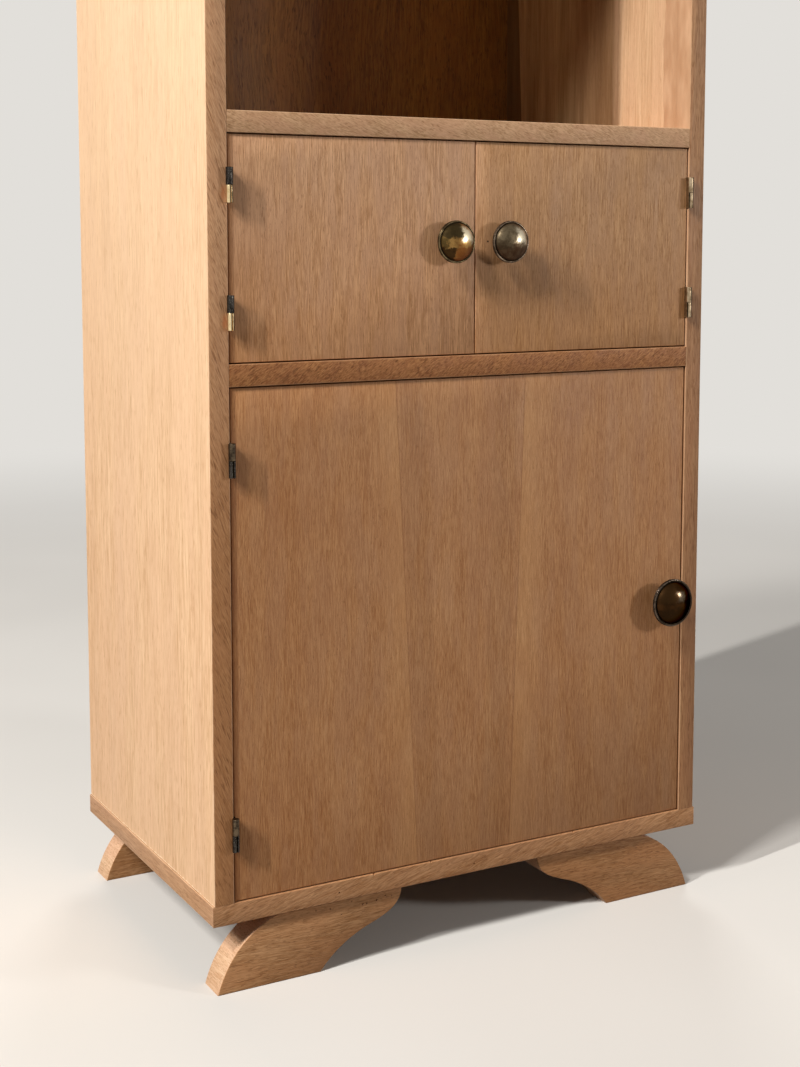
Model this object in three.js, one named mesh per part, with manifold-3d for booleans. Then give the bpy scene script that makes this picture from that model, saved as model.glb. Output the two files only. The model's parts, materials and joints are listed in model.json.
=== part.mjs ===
// A tall, narrow oak cabinet (highboard) of the 1930s or 1940s: an open niche over two small doors over one
// large door, on four sawn scroll feet. Millimetres, +Z up, the front faces -Y, and the origin lies on the floor
// at the centre of the space that the cabinet takes, knobs included.
import * as THREE from "three";
import { mergeVertices } from "three/addons/utils/BufferGeometryUtils.js";
import Module from "manifold-3d";

const wasm = await Module();
wasm.setup();

// Carcass
const carcassWidth = 540;
const carcassDepth = 345;
const footHeight = 66;
const bottomThickness = 19;
const lowerOpeningHeight = 465;
const middleThickness = 20;
const upperOpeningHeight = 200;
const nicheFloorThickness = 19;
const nicheHeight = 392;
const topThickness = 19;
const sideThickness = 19;
const boardOverhang = 1.5;
const boardLippingWidth = 22;
const backThickness = 5;
const backRebate = 8;
const glueLine = 0.1;
const cutOverrun = 2;
const weldDistance = 1e-4;

// Hinges: two knuckles on one pin, and thin leaves let into the side and into the door's edge
const hinge = {
  length: 30.5,
  knuckleRadius: 3.2,
  knuckleStandOff: 0.3,
  knuckleEndPlay: 0.2,
  pinRadius: 1.4,
  pinClearance: 0.1,
  leafThickness: 0.9,
  leafStandOut: 0.4,
  leafGap: 0.4,
  leafDepth: 16,
  mortiseFit: 0.2,
  screwRadius: 1.1,
  screwLength: 12,
  screwFit: 0.2,
  screwSpacing: 18,
  slotWidth: 0.8,
  slotDepth: 0.3,
  slotLength: 4,
};
const upperHingeInset = 45;
const lowerHingeInset = 64;

// Solid oak lippings, a little deeper than the hinge leaves that are let into them
const lippingMargin = 6;
const lippingDepth = hinge.leafDepth + lippingMargin;

// Doors
const doorThickness = 18;
const doorGap = 1.2;
const doorRecess = 1.6;
const closingBevel = 1.7;

// Knobs: the two upper ones are alike, and the lower door has a larger one
const smallKnob = {
  diameter: 39.5,
  projection: 22,
  standOff: 10.5,
  stemRadius: 6,
  flangeRadius: 8.5,
  flangeThickness: 1.5,
  cupRadius: 12.5,
  rimThickness: 3,
  rimWidth: 2.2,
  rimRound: 0.6,
  domeSeat: 0.8,
  domeEdge: 1.2,
  screwRadius: 2,
  screwLength: 12,
};
const largeKnob = {
  diameter: 48.5,
  projection: 29.5,
  standOff: 16,
  stemRadius: 7,
  flangeRadius: 10,
  flangeThickness: 1.8,
  cupRadius: 15.5,
  rimThickness: 3.4,
  rimWidth: 2.7,
  rimRound: 0.7,
  domeSeat: 0.9,
  domeEdge: 1.4,
  screwRadius: 2,
  screwLength: 12,
};
const knobScrewFit = 0.2;
const upperKnobsFromCentre = { left: 27.5, right: 31.9 };
const upperKnobRise = 6;
const lowerKnobFromSide = 24.8;
const lowerKnobDrop = 6.5;

// Feet, sawn from thick oak. Their lengths run along the front, from the toe to the end of the arm
const footThickness = 31;
const footFrontInset = 4;
const footRearInset = 5;
const toeInset = 3.8;
const toeReach = 66;
const soleLength = 103;
const coveReach = 51;
const coveHeight = 35;
const armReach = 35;

// Where the handles of each curve of a foot lie, as shares of that curve's reach and height
const toeFloorShares = [0.12, 0.42];
const toeTopShares = [0.42, 0.86];
const coveFloorShares = [0.25, 0.47];
const coveArmShares = [0.64, 0.82];
const armCoveShares = [0.54, 0.21];
const armTopShares = [1, 0.42];

// Door stops, and catches in which a bulb-headed stud on the door enters a folded spring clip under the stop
const stopHeight = 12;
const stopDepth = 19;
const stopClearance = 0.3;
const stud = {
  headRadius: 2.6,
  headLength: 6,
  neckRadius: 1.6,
  neckLength: 7,
  flangeRadius: 4,
  flangeThickness: 1,
  screwRadius: 1.3,
  screwLength: 8,
  screwFit: 0.2,
};
const clip = {
  sheet: 0.8,
  height: 11,
  width: 9,
  depth: 15,
  setback: 2,
  flare: 1.6,
  throatDepth: 3,
  shoulderDepth: 6,
  throatClearance: 0.25,
};
const catchFromEdge = 24;

// The loose shelf of the lower cupboard, on two battens
const shelfThickness = 16;
const shelfSetback = 42;
const shelfPlay = 0.5;
const shelfRise = 240;
const battenThickness = 14;
const battenHeight = 20;

const knobSegments = 24;
const barrelSegments = 16;
const screwSegments = 8;
const footCurveSegments = 10;
const domeSegments = 5;
const headSegments = 6;

// Heights
const bottomTop = footHeight + bottomThickness;
const middleLow = bottomTop + lowerOpeningHeight;
const middleTop = middleLow + middleThickness;
const nicheFloorLow = middleTop + upperOpeningHeight;
const nicheFloorTop = nicheFloorLow + nicheFloorThickness;
const topLow = nicheFloorTop + nicheHeight;
const upperDoorMiddle = (middleTop + nicheFloorLow) / 2;
const lowerDoorMiddle = (bottomTop + middleLow) / 2;
const upperHingeHeights = { top: nicheFloorLow - upperHingeInset, bottom: middleTop + upperHingeInset };
const lowerHingeHeights = { top: middleLow - lowerHingeInset, bottom: bottomTop + lowerHingeInset };

// Depths: the origin is midway between the lower knob's crown and the back
const knobReach = largeKnob.projection - doorRecess;
const frontY = (knobReach - carcassDepth) / 2;
const rearY = frontY + carcassDepth;
const backFaceY = rearY - backThickness;
const boardEndY = backFaceY - glueLine;
const doorFaceY = frontY + doorRecess;
const doorRearY = doorFaceY + doorThickness;
const stopY = doorRearY + stopClearance;

// Widths, and the hinge axes, which stand in the gap between door and side, just in front of the cabinet
const innerHalf = carcassWidth / 2 - sideThickness;
const fixedHalf = innerHalf - glueLine;
const hingeGap = 2 * hinge.leafStandOut + hinge.leafGap;
const axisX = innerHalf - hingeGap / 2;
const axisForward = hinge.knuckleRadius + hinge.knuckleStandOff;
const axisY = frontY - axisForward;
const mortiseDepth = hinge.leafThickness - hinge.leafStandOut;
const leafNearX = hinge.leafGap / 2;
const leafFarX = leafNearX + hinge.leafThickness;
const screwRises = [-hinge.screwSpacing / 2, hinge.screwSpacing / 2];

const hands = { left: 1, right: -1 };

// Finishes: pale waxed oak, plainer oak inside, aged brass, darkened brass and spring steel
const oakVeneer = new THREE.MeshStandardMaterial({ color: 0xc39a6c, roughness: 0.6, metalness: 0 });
const oakSolid = new THREE.MeshStandardMaterial({ color: 0xb48a5c, roughness: 0.65, metalness: 0 });
const oakInside = new THREE.MeshStandardMaterial({ color: 0x9d7148, roughness: 0.7, metalness: 0 });
const agedBrass = new THREE.MeshStandardMaterial({ color: 0x8d7650, roughness: 0.3, metalness: 1 });
const darkBrass = new THREE.MeshStandardMaterial({ color: 0x41342a, roughness: 0.28, metalness: 1 });
const springSteel = new THREE.MeshStandardMaterial({ color: 0x8a8780, roughness: 0.4, metalness: 1 });

// Tools for solids

function solidOf(geometry) {
  const bare = geometry.clone();
  bare.deleteAttribute("normal");
  bare.deleteAttribute("uv");
  const merged = mergeVertices(bare, weldDistance);
  const vertProperties = new Float32Array(merged.attributes.position.array);
  const triVerts = new Uint32Array(merged.index.array);
  return new wasm.Manifold(new wasm.Mesh({ numProp: 3, vertProperties, triVerts }));
}

function geometryOf(solid) {
  const mesh = solid.getMesh();
  const geometry = new THREE.BufferGeometry();
  geometry.setAttribute("position", new THREE.BufferAttribute(new Float32Array(mesh.vertProperties), 3));
  geometry.setIndex(new THREE.BufferAttribute(new Uint32Array(mesh.triVerts), 1));
  geometry.computeVertexNormals();
  return geometry;
}

function cut(geometry, tools) {
  return geometryOf(tools.reduce((rest, tool) => rest.subtract(solidOf(tool)), solidOf(geometry)));
}

function join(geometries) {
  return geometryOf(geometries.map(solidOf).reduce((whole, solid) => whole.add(solid)));
}

// A box with its lowest corner at the point (x, y, z)
function block(width, depth, height, x = 0, y = 0, z = 0) {
  const box = new THREE.BoxGeometry(width, depth, height);
  return box.translate(width / 2 + x, depth / 2 + y, height / 2 + z);
}

function outlineOf(points) {
  return new THREE.Shape(points.map(([x, y]) => new THREE.Vector2(x, y)));
}

// An outline in plan, raised to a height
function raised(outline, height) {
  return new THREE.ExtrudeGeometry(outline, { depth: height, bevelEnabled: false });
}

// A solid of revolution. The profile holds [radius, reach] pairs from axis to axis, and the reach runs along +Z
function turned(profile, segments) {
  const points = profile.map(([radius, reach]) => new THREE.Vector2(radius, reach));
  return new THREE.LatheGeometry(points, segments).rotateX(Math.PI / 2);
}

function rod(radius, low, high, segments) {
  return turned([[0, low], [radius, low], [radius, high], [0, high]], segments);
}

const cabinet = new THREE.Group();

function place(group, name, geometry, material, x = 0, y = 0, z = 0) {
  const mesh = new THREE.Mesh(geometry, material);
  mesh.name = name;
  mesh.position.set(x, y, z);
  group.add(mesh);
}

// A group at a point, drawn in its left-hand form: hand is 1 on the left and -1, mirrored, on the right
function handed(hand, x, y, z) {
  const group = new THREE.Group();
  group.position.set(x, y, z);
  group.scale.x = hand;
  cabinet.add(group);
  return group;
}

// Room for a hinge leaf and its screws in a face at x = 0 with its wood at -X, from the cabinet's front plane
// at y = 0 and about the hinge's middle height

function leafRoom() {
  const fit = hinge.mortiseFit;
  const half = hinge.length / 2 + fit;
  const depth = hinge.leafDepth + fit + cutOverrun;
  const pocket = block(mortiseDepth + fit + cutOverrun, depth, 2 * half, -mortiseDepth - fit, -cutOverrun, -half);
  const pilots = screwRises.map((rise) =>
    rod(hinge.screwRadius + hinge.screwFit, 0, hinge.screwLength + hinge.screwFit, screwSegments)
      .rotateY(-Math.PI / 2)
      .translate(-mortiseDepth, hinge.leafDepth / 2, rise),
  );
  return [pocket, ...pilots];
}

// Sides: a panel rebated for the back, behind a lipping with mortises for the hinges

const sideLow = bottomTop + glueLine;
const sideHeight = topLow - bottomTop - 2 * glueLine;

function sidePanel() {
  const panelFront = lippingDepth + glueLine;
  const rebateFront = carcassDepth - backThickness - glueLine;
  const rebateX = sideThickness - backRebate;
  const outline = outlineOf([
    [0, panelFront],
    [sideThickness, panelFront],
    [sideThickness, rebateFront],
    [rebateX, rebateFront],
    [rebateX, carcassDepth],
    [0, carcassDepth],
  ]);
  return raised(outline, sideHeight);
}

function sideLipping(hingeHeights) {
  const strip = block(sideThickness, lippingDepth, sideHeight, 0, 0, sideLow);
  const rooms = hingeHeights.flatMap((height) =>
    leafRoom().map((tool) => tool.translate(sideThickness, 0, height)),
  );
  return cut(strip, rooms);
}

const leftHinges = [...Object.values(upperHingeHeights), ...Object.values(lowerHingeHeights)];
const rightHinges = Object.values(upperHingeHeights);
for (const [side, hingeHeights] of [["left", leftHinges], ["right", rightHinges]]) {
  const hand = hands[side];
  const group = handed(hand, (-hand * carcassWidth) / 2, frontY, 0);
  place(group, `side_panel_${side}`, sidePanel(), oakVeneer, 0, 0, sideLow);
  place(group, `side_lipping_${side}`, sideLipping(hingeHeights), oakSolid);
}

// Bottom and top boards: a panel inside three mitred lippings

function addMitredBoard(name, low, thickness) {
  const half = carcassWidth / 2 + boardOverhang;
  const inner = half - boardLippingWidth;
  const mitreShift = 2 * glueLine;
  const front = outlineOf([[-half, 0], [half, 0], [inner, boardLippingWidth], [-inner, boardLippingWidth]]);
  const end = outlineOf([
    [-half, mitreShift],
    [-inner, boardLippingWidth + mitreShift],
    [-inner, carcassDepth],
    [-half, carcassDepth],
  ]);
  const panelHalf = inner - glueLine;
  const panelFront = boardLippingWidth + glueLine;
  const panel = block(2 * panelHalf, carcassDepth - panelFront, thickness, -panelHalf, panelFront);
  const group = handed(hands.left, 0, frontY, low);
  place(group, `${name}_panel`, panel, oakVeneer);
  place(group, `${name}_lipping_front`, raised(front, thickness), oakSolid);
  for (const [side, hand] of Object.entries(hands)) {
    place(handed(hand, 0, frontY, low), `${name}_lipping_${side}`, raised(end, thickness), oakSolid);
  }
}

addMitredBoard("bottom", footHeight, bottomThickness);
addMitredBoard("top", topLow, topThickness);

// Middle board and niche floor: a panel and its front lipping, between the sides

function addFixedBoard(name, low, thickness) {
  const panelFront = frontY + lippingDepth + glueLine;
  const lipping = block(2 * fixedHalf, lippingDepth, thickness);
  const panel = block(2 * fixedHalf, boardEndY - panelFront, thickness);
  place(cabinet, `${name}_lipping`, lipping, oakSolid, -fixedHalf, frontY, low);
  place(cabinet, `${name}_panel`, panel, oakVeneer, -fixedHalf, panelFront, low);
}

addFixedBoard("middle", middleLow, middleThickness);
addFixedBoard("niche_floor", nicheFloorLow, nicheFloorThickness);

const backHalf = fixedHalf + backRebate;
const backPanel = block(2 * backHalf, backThickness, sideHeight);
place(cabinet, "back_panel", backPanel, oakInside, -backHalf, backFaceY, sideLow);

// Feet: the toe's curve rises to the board, and the arm comes back down to the sole by a cove

function footOutline() {
  const top = footHeight - glueLine;
  const coveEnd = soleLength + coveReach;
  const armEnd = coveEnd + armReach;
  const armHeight = top - coveHeight;
  const outline = new THREE.Shape();
  outline.moveTo(0, 0);
  outline.lineTo(soleLength, 0);
  outline.bezierCurveTo(
    soleLength + coveFloorShares[0] * coveReach,
    coveFloorShares[1] * coveHeight,
    soleLength + coveArmShares[0] * coveReach,
    coveArmShares[1] * coveHeight,
    coveEnd,
    coveHeight,
  );
  outline.bezierCurveTo(
    coveEnd + armCoveShares[0] * armReach,
    coveHeight + armCoveShares[1] * armHeight,
    coveEnd + armTopShares[0] * armReach,
    coveHeight + armTopShares[1] * armHeight,
    armEnd,
    top,
  );
  outline.lineTo(toeReach, top);
  outline.bezierCurveTo(
    toeTopShares[0] * toeReach,
    toeTopShares[1] * top,
    toeFloorShares[0] * toeReach,
    toeFloorShares[1] * top,
    0,
    0,
  );
  return outline;
}

function addFoot(name, hand, y) {
  const settings = { depth: footThickness, bevelEnabled: false, curveSegments: footCurveSegments };
  const foot = new THREE.ExtrudeGeometry(footOutline(), settings).rotateX(Math.PI / 2);
  place(handed(hand, hand * (toeInset - carcassWidth / 2), y + footThickness, 0), name, foot, oakSolid);
}

for (const [side, hand] of Object.entries(hands)) {
  addFoot(`foot_front_${side}`, hand, frontY + footFrontInset);
  addFoot(`foot_rear_${side}`, hand, rearY - footRearInset - footThickness);
}

// Door stops, under the niche floor and under the middle board

const stopLowUnder = (board) => board - glueLine - stopHeight;

for (const [name, board] of [["upper", nicheFloorLow], ["lower", middleLow]]) {
  const stop = block(2 * fixedHalf, stopDepth, stopHeight);
  place(cabinet, `${name}_door_stop`, stop, oakSolid, -fixedHalf, stopY, stopLowUnder(board));
}

// The shelf of the lower cupboard, loose on its battens

const shelfLow = bottomTop + shelfRise;
const shelfFrontY = doorRearY + shelfSetback;
const shelfHalf = innerHalf - shelfPlay;
const shelf = block(2 * shelfHalf, boardEndY - shelfPlay - shelfFrontY, shelfThickness);
place(cabinet, "shelf", shelf, oakInside, -shelfHalf, shelfFrontY, shelfLow);

for (const [side, hand] of Object.entries(hands)) {
  const batten = block(battenThickness, boardEndY - shelfFrontY, battenHeight);
  const group = handed(hand, -hand * fixedHalf, shelfFrontY, shelfLow - glueLine - battenHeight);
  place(group, `shelf_batten_${side}`, batten, oakInside);
}

// Hinges, about their own pin at the origin, with the side at -X and the cabinet's front plane at +Y

// A leaf with its lower knuckle, and with its two slotted screws driven home
function leafWithKnuckle() {
  const half = hinge.length / 2;
  const knuckleHeight = half - hinge.knuckleEndPlay / 2;
  const thickness = hinge.leafThickness;
  const slotHalf = hinge.slotLength / 2;
  const screwY = axisForward + hinge.leafDepth / 2;
  const plate = block(thickness, hinge.leafDepth, hinge.length, -leafFarX, axisForward, -half);
  const tab = block(thickness, axisForward + thickness, knuckleHeight, -leafFarX, 0, -half);
  const barrel = rod(hinge.knuckleRadius, -half, knuckleHeight - half, barrelSegments);
  const bore = rod(hinge.pinRadius + hinge.pinClearance, -half - cutOverrun, half, barrelSegments);
  const screws = screwRises.map((rise) =>
    rod(hinge.screwRadius, leafFarX - thickness / 2, leafFarX + hinge.screwLength, screwSegments)
      .rotateY(-Math.PI / 2)
      .translate(0, screwY, rise),
  );
  const slots = screwRises.map((rise) =>
    block(
      hinge.slotDepth + leafNearX,
      hinge.slotLength,
      hinge.slotWidth,
      -leafNearX - hinge.slotDepth,
      screwY - slotHalf,
      rise - hinge.slotWidth / 2,
    ),
  );
  return cut(join([plate, tab, barrel, ...screws]), [bore, ...slots]);
}

function hingePin() {
  const half = hinge.length / 2;
  const crown = hinge.pinRadius / 2;
  const profile = [
    [0, -half],
    [crown, -half],
    [hinge.pinRadius, crown - half],
    [hinge.pinRadius, half - crown],
    [crown, half],
    [0, half],
  ];
  return turned(profile, barrelSegments);
}

// The door's leaf is the frame's leaf turned end over end, so that its knuckle is the upper one
const frameLeaf = leafWithKnuckle();
const doorLeaf = frameLeaf.clone().rotateY(Math.PI);

function addHinge(name, hand, height) {
  const group = handed(hand, -hand * axisX, axisY, height);
  place(group, `${name}_frame_leaf`, frameLeaf, agedBrass);
  place(group, `${name}_door_leaf`, doorLeaf, agedBrass);
  place(group, `${name}_pin`, hingePin(), agedBrass);
}

// Knobs: a turned body with its own wood screw, and a pressed dome seated inside the rim. The reach runs forward

function knobBody(knob) {
  const rim = knob.diameter / 2;
  const rimTop = knob.standOff + knob.rimThickness;
  const profile = [
    [0, -knob.screwLength],
    [knob.screwRadius, -knob.screwLength],
    [knob.screwRadius, 0],
    [knob.flangeRadius, 0],
    [knob.flangeRadius, knob.flangeThickness],
    [knob.stemRadius, 2 * knob.flangeThickness],
    [knob.stemRadius, knob.standOff / 2],
    [knob.cupRadius, knob.standOff - knob.rimThickness / 2],
    [rim, knob.standOff + knob.rimRound],
    [rim, rimTop - knob.rimRound],
    [rim - knob.rimRound, rimTop],
    [rim - knob.rimWidth, rimTop - knob.domeSeat],
    [0, rimTop - knob.domeSeat],
  ];
  return turned(profile, knobSegments).rotateX(Math.PI / 2);
}

function knobDome(knob) {
  const radius = knob.diameter / 2 - knob.rimWidth - glueLine;
  const seat = knob.standOff + knob.rimThickness - knob.domeSeat + glueLine;
  const shoulder = seat + knob.domeEdge;
  const rise = knob.projection - shoulder;
  const sphereRadius = (radius * radius + rise * rise) / (2 * rise);
  const sweep = Math.asin(radius / sphereRadius);
  const crown = [];
  for (let i = 0; i < domeSegments; i += 1) {
    const angle = sweep * (1 - i / domeSegments);
    crown.push([sphereRadius * Math.sin(angle), knob.projection - sphereRadius * (1 - Math.cos(angle))]);
  }
  return turned([[0, seat], [radius, seat], ...crown, [0, knob.projection]], knobSegments).rotateX(Math.PI / 2);
}

// Catches: the stud's reach runs back from the door, and the clip's mouth is at y = 0

function catchStud() {
  const head = [];
  for (let i = 1; i < headSegments; i += 1) {
    const angle = (Math.PI * i) / headSegments;
    const reach = stud.neckLength + (stud.headLength * (1 - Math.cos(angle))) / 2;
    head.push([Math.max(stud.headRadius * Math.sin(angle), stud.neckRadius), reach]);
  }
  const profile = [
    [0, -stud.screwLength],
    [stud.screwRadius, -stud.screwLength],
    [stud.screwRadius, glueLine],
    [stud.flangeRadius, glueLine],
    [stud.flangeRadius, stud.flangeThickness],
    [stud.neckRadius, stud.flangeThickness],
    ...head,
    [0, stud.neckLength + stud.headLength],
  ];
  return turned(profile, barrelSegments).rotateX(-Math.PI / 2);
}

function catchClip() {
  const half = clip.height / 2;
  const throat = stud.headRadius + clip.throatClearance;
  const inside = [
    [0, throat + clip.flare],
    [clip.throatDepth, throat],
    [clip.shoulderDepth, half - clip.sheet],
    [clip.depth - clip.sheet, half - clip.sheet],
  ];
  const outside = [
    [0, throat + clip.flare + clip.sheet],
    [clip.throatDepth, throat + clip.sheet],
    [clip.shoulderDepth, half],
    [clip.depth, half],
  ];
  const below = (points) => points.map(([y, z]) => [y, -z]);
  const outline = outlineOf([...inside, ...below(inside).reverse(), ...below(outside), ...outside.reverse()]);
  const standing = new THREE.Matrix4().makeBasis(
    new THREE.Vector3(0, 1, 0),
    new THREE.Vector3(0, 0, 1),
    new THREE.Vector3(1, 0, 0),
  );
  return raised(outline, clip.width).applyMatrix4(standing).translate(-clip.width / 2, 0, 0);
}

// Doors, each with all that belongs to it. The hinged edge is at x = 0, and the free edge is bevelled to clear

function addDoor({ name, hand, low, high, width, hingeHeights, knob, knobX, knobHeight, knobFinish }) {
  const doorLow = low + doorGap;
  const catchX = width - catchFromEdge;
  const catchRise = stopLowUnder(high) - glueLine - clip.height / 2 - doorLow;
  const knobRise = knobHeight - doorLow;
  const outline = outlineOf([[0, 0], [width, 0], [width - closingBevel, doorThickness], [0, doorThickness]]);
  const rooms = Object.values(hingeHeights).flatMap((height) =>
    leafRoom().map((tool) => tool.rotateY(Math.PI).translate(0, -doorRecess, height - doorLow)),
  );
  const knobPilot = rod(knob.screwRadius + knobScrewFit, -cutOverrun, knob.screwLength + knobScrewFit, screwSegments)
    .rotateX(-Math.PI / 2)
    .translate(knobX, 0, knobRise);
  const studPilot = rod(stud.screwRadius + stud.screwFit, -cutOverrun, stud.screwLength + stud.screwFit, screwSegments)
    .rotateX(Math.PI / 2)
    .translate(catchX, doorThickness, catchRise);
  const panel = cut(raised(outline, high - doorGap - doorLow), [...rooms, knobPilot, studPilot]);
  const group = handed(hand, hand * (hingeGap - innerHalf), doorFaceY, doorLow);
  place(group, `${name}_door`, panel, oakVeneer);
  place(group, `${name}_knob_body`, knobBody(knob), knobFinish, knobX, 0, knobRise);
  place(group, `${name}_knob_dome`, knobDome(knob), knobFinish, knobX, 0, knobRise);
  place(group, `${name}_catch_stud`, catchStud(), agedBrass, catchX, doorThickness, catchRise);
  place(group, `${name}_catch_clip`, catchClip(), springSteel, catchX, stopY - doorFaceY + clip.setback, catchRise);
  for (const [end, height] of Object.entries(hingeHeights)) {
    addHinge(`${name}_hinge_${end}`, hand, height);
  }
}

for (const [side, hand] of Object.entries(hands)) {
  addDoor({
    name: `upper_${side}`,
    hand,
    low: middleTop,
    high: nicheFloorLow,
    width: innerHalf - hingeGap - doorGap / 2,
    hingeHeights: upperHingeHeights,
    knob: smallKnob,
    knobX: innerHalf - hingeGap - upperKnobsFromCentre[side],
    knobHeight: upperDoorMiddle + upperKnobRise,
    knobFinish: agedBrass,
  });
}

addDoor({
  name: "lower",
  hand: hands.left,
  low: bottomTop,
  high: middleLow,
  width: 2 * innerHalf - hingeGap - doorGap,
  hingeHeights: lowerHingeHeights,
  knob: largeKnob,
  knobX: 2 * innerHalf - hingeGap - lowerKnobFromSide,
  knobHeight: lowerDoorMiddle - lowerKnobDrop,
  knobFinish: darkBrass,
});

export default cabinet;
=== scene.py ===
# The looks of an oak highboard of the 1930s or 1940s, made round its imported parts.
# Metres, +Z up, and the front faces -Y.
import json
import math

import bmesh
import bpy
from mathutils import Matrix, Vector


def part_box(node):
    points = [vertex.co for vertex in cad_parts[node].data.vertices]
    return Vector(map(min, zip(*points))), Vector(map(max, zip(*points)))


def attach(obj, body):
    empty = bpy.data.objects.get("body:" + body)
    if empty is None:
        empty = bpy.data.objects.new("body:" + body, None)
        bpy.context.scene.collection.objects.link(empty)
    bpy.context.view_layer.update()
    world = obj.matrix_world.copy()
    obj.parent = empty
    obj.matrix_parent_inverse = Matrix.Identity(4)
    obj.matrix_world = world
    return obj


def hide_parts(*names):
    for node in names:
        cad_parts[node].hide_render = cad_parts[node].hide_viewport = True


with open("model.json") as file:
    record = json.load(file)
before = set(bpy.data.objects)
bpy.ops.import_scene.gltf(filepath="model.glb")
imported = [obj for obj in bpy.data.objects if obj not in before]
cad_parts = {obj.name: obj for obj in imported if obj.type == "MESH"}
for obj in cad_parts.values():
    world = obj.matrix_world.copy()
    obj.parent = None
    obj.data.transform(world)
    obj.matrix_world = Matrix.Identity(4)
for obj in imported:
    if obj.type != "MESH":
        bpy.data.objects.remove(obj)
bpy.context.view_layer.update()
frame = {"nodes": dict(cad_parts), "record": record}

MM = 0.001
record = frame["record"]
body_of = {node: body for body, nodes in record["behaviour"]["bodies"].items() for node in nodes}

# Places read from the frame
side_low, side_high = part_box("side_panel_left")
lipping_low, lipping_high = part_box("side_lipping_left")
back_low, back_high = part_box("back_panel")
front_y = lipping_low.y
outer_x = side_low.x
inner_x = lipping_high.x

# The doors, each with its hand: 1 where the hinges are on the left, -1 on the right
DOOR_HANDS = {"upper_left": 1, "upper_right": -1, "lower": 1}
HINGE_ENDS = ("top", "bottom")


def middle_of(node):
    low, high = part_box(node)
    return (low + high) / 2


def seat_on(node, y):
    """The middle of a node, brought to a depth."""
    low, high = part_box(node)
    return Vector(((low.x + high.x) / 2, y, (low.z + high.z) / 2))


# Cabinet making
GLUE_LINE = 0.1 * MM
BACK_REBATE = 8 * MM
ARRIS = 0.6 * MM
DOOR_ARRIS = 0.5 * MM
FOOT_ARRIS = 0.9 * MM
CLOSING_BEVEL = 1.7 * MM
OVERRUN = 2 * MM

# Hinges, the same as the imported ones
HINGE_LENGTH = 30.5 * MM
KNUCKLE_HEIGHT = 15.15 * MM
KNUCKLE_RADIUS = 3.2 * MM
KNUCKLE_BORE = 1.5 * MM
PIN_RADIUS = 1.4 * MM
AXIS_FORWARD = 3.5 * MM
LEAF_GAP = 0.4 * MM
LEAF_THICKNESS = 0.9 * MM
LEAF_STAND_OUT = 0.4 * MM
LEAF_DEPTH = 16 * MM
MORTISE_FIT = 0.2 * MM
HINGE_SCREW_RADIUS = 1.1 * MM
HINGE_SCREW_LENGTH = 12 * MM
SCREW_RISES = (-9 * MM, 9 * MM)
SCREW_FIT = 0.2 * MM
SCREW_HEAD_RADIUS = 2.3 * MM
SCREW_HEAD_RISE = 0.1 * MM
SCREW_SLOT_WIDTH = 0.7 * MM
SCREW_SLOT_DEPTH = 0.35 * MM
SEAM_OPENING = math.radians(28)

# Knobs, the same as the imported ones
SMALL_KNOB = {
    "radius": 19.75 * MM, "stand_off": 10.5 * MM, "projection": 22 * MM, "stem": 6 * MM, "flange": 8.5 * MM,
    "cup": 12.5 * MM, "rim": 3 * MM, "seat": 0.8 * MM, "dome": 17.45 * MM,
}
LARGE_KNOB = {
    "radius": 24.25 * MM, "stand_off": 16 * MM, "projection": 29.5 * MM, "stem": 7 * MM, "flange": 10 * MM,
    "cup": 15.5 * MM, "rim": 3.4 * MM, "seat": 0.9 * MM, "dome": 21.45 * MM,
}

# The turns that lay a knob's and a catch stud's axis across the door
FORWARD = (math.radians(90), 0, 0)
INTO_CUPBOARD = (math.radians(-90), 0, 0)

# The feet, along the front from the toe
SOLE_LENGTH = 103 * MM
COVE_REACH = 51 * MM
COVE_HEIGHT = 35 * MM
ARM_REACH = 35 * MM
TOE_REACH = 66 * MM


def srgb(red, green, blue):
    """A colour given by its screen values from 0 to 255."""
    def straight(value):
        share = value / 255
        return share / 12.92 if share <= 0.04045 else ((share + 0.055) / 1.055) ** 2.4
    return (straight(red), straight(green), straight(blue), 1.0)


# Camera, at the photograph's place, and lamps
def add_camera():
    data = bpy.data.cameras.new("camera")
    data.sensor_width = 36
    data.lens = 55.26
    data.shift_y = -0.1251
    data.clip_end = 100
    camera = bpy.data.objects.new("camera", data)
    camera.location = (-0.8079, -1.4721, 0.6783)
    camera.rotation_euler = (math.radians(90 - 5.60), 0, math.radians(-28.95))
    bpy.context.scene.collection.objects.link(camera)
    bpy.context.scene.camera = camera


LIT_HEIGHT = 0.6


def add_lamp(name, bearing, elevation, distance, width, height, power, tint, in_gloss=True):
    """A soft lamp aimed at the cabinet. The bearing is in degrees from straight ahead, left negative."""
    turn = math.radians(bearing)
    rise = math.radians(elevation)
    direction = Vector((math.sin(turn) * math.cos(rise), -math.cos(turn) * math.cos(rise), math.sin(rise)))
    data = bpy.data.lights.new(name, "AREA")
    data.shape = "RECTANGLE"
    data.size = width
    data.size_y = height
    data.energy = power
    data.color = tint
    lamp = bpy.data.objects.new(name, data)
    lamp.location = direction * distance + Vector((0, 0, LIT_HEIGHT))
    lamp.rotation_euler = direction.to_track_quat("Z", "Y").to_euler()
    lamp.visible_camera = False
    lamp.visible_glossy = in_gloss
    bpy.context.scene.collection.objects.link(lamp)


add_camera()
add_lamp("window_lamp", -75.4, 31, 4.3, 0.06, 1.0, 160, (1.0, 0.98, 0.95), in_gloss=False)
add_lamp("window_glow", -65, 42, 4.3, 0.5, 0.5, 99, (1.0, 0.98, 0.95))
add_lamp("room_lamp", 42, 8, 2.31, 0.3, 0.3, 14.5, (1.0, 0.98, 0.95))
add_lamp("rear_lamp", 150, 35, 4.0, 1.2, 1.2, 40, (1.0, 0.98, 0.96))


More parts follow.
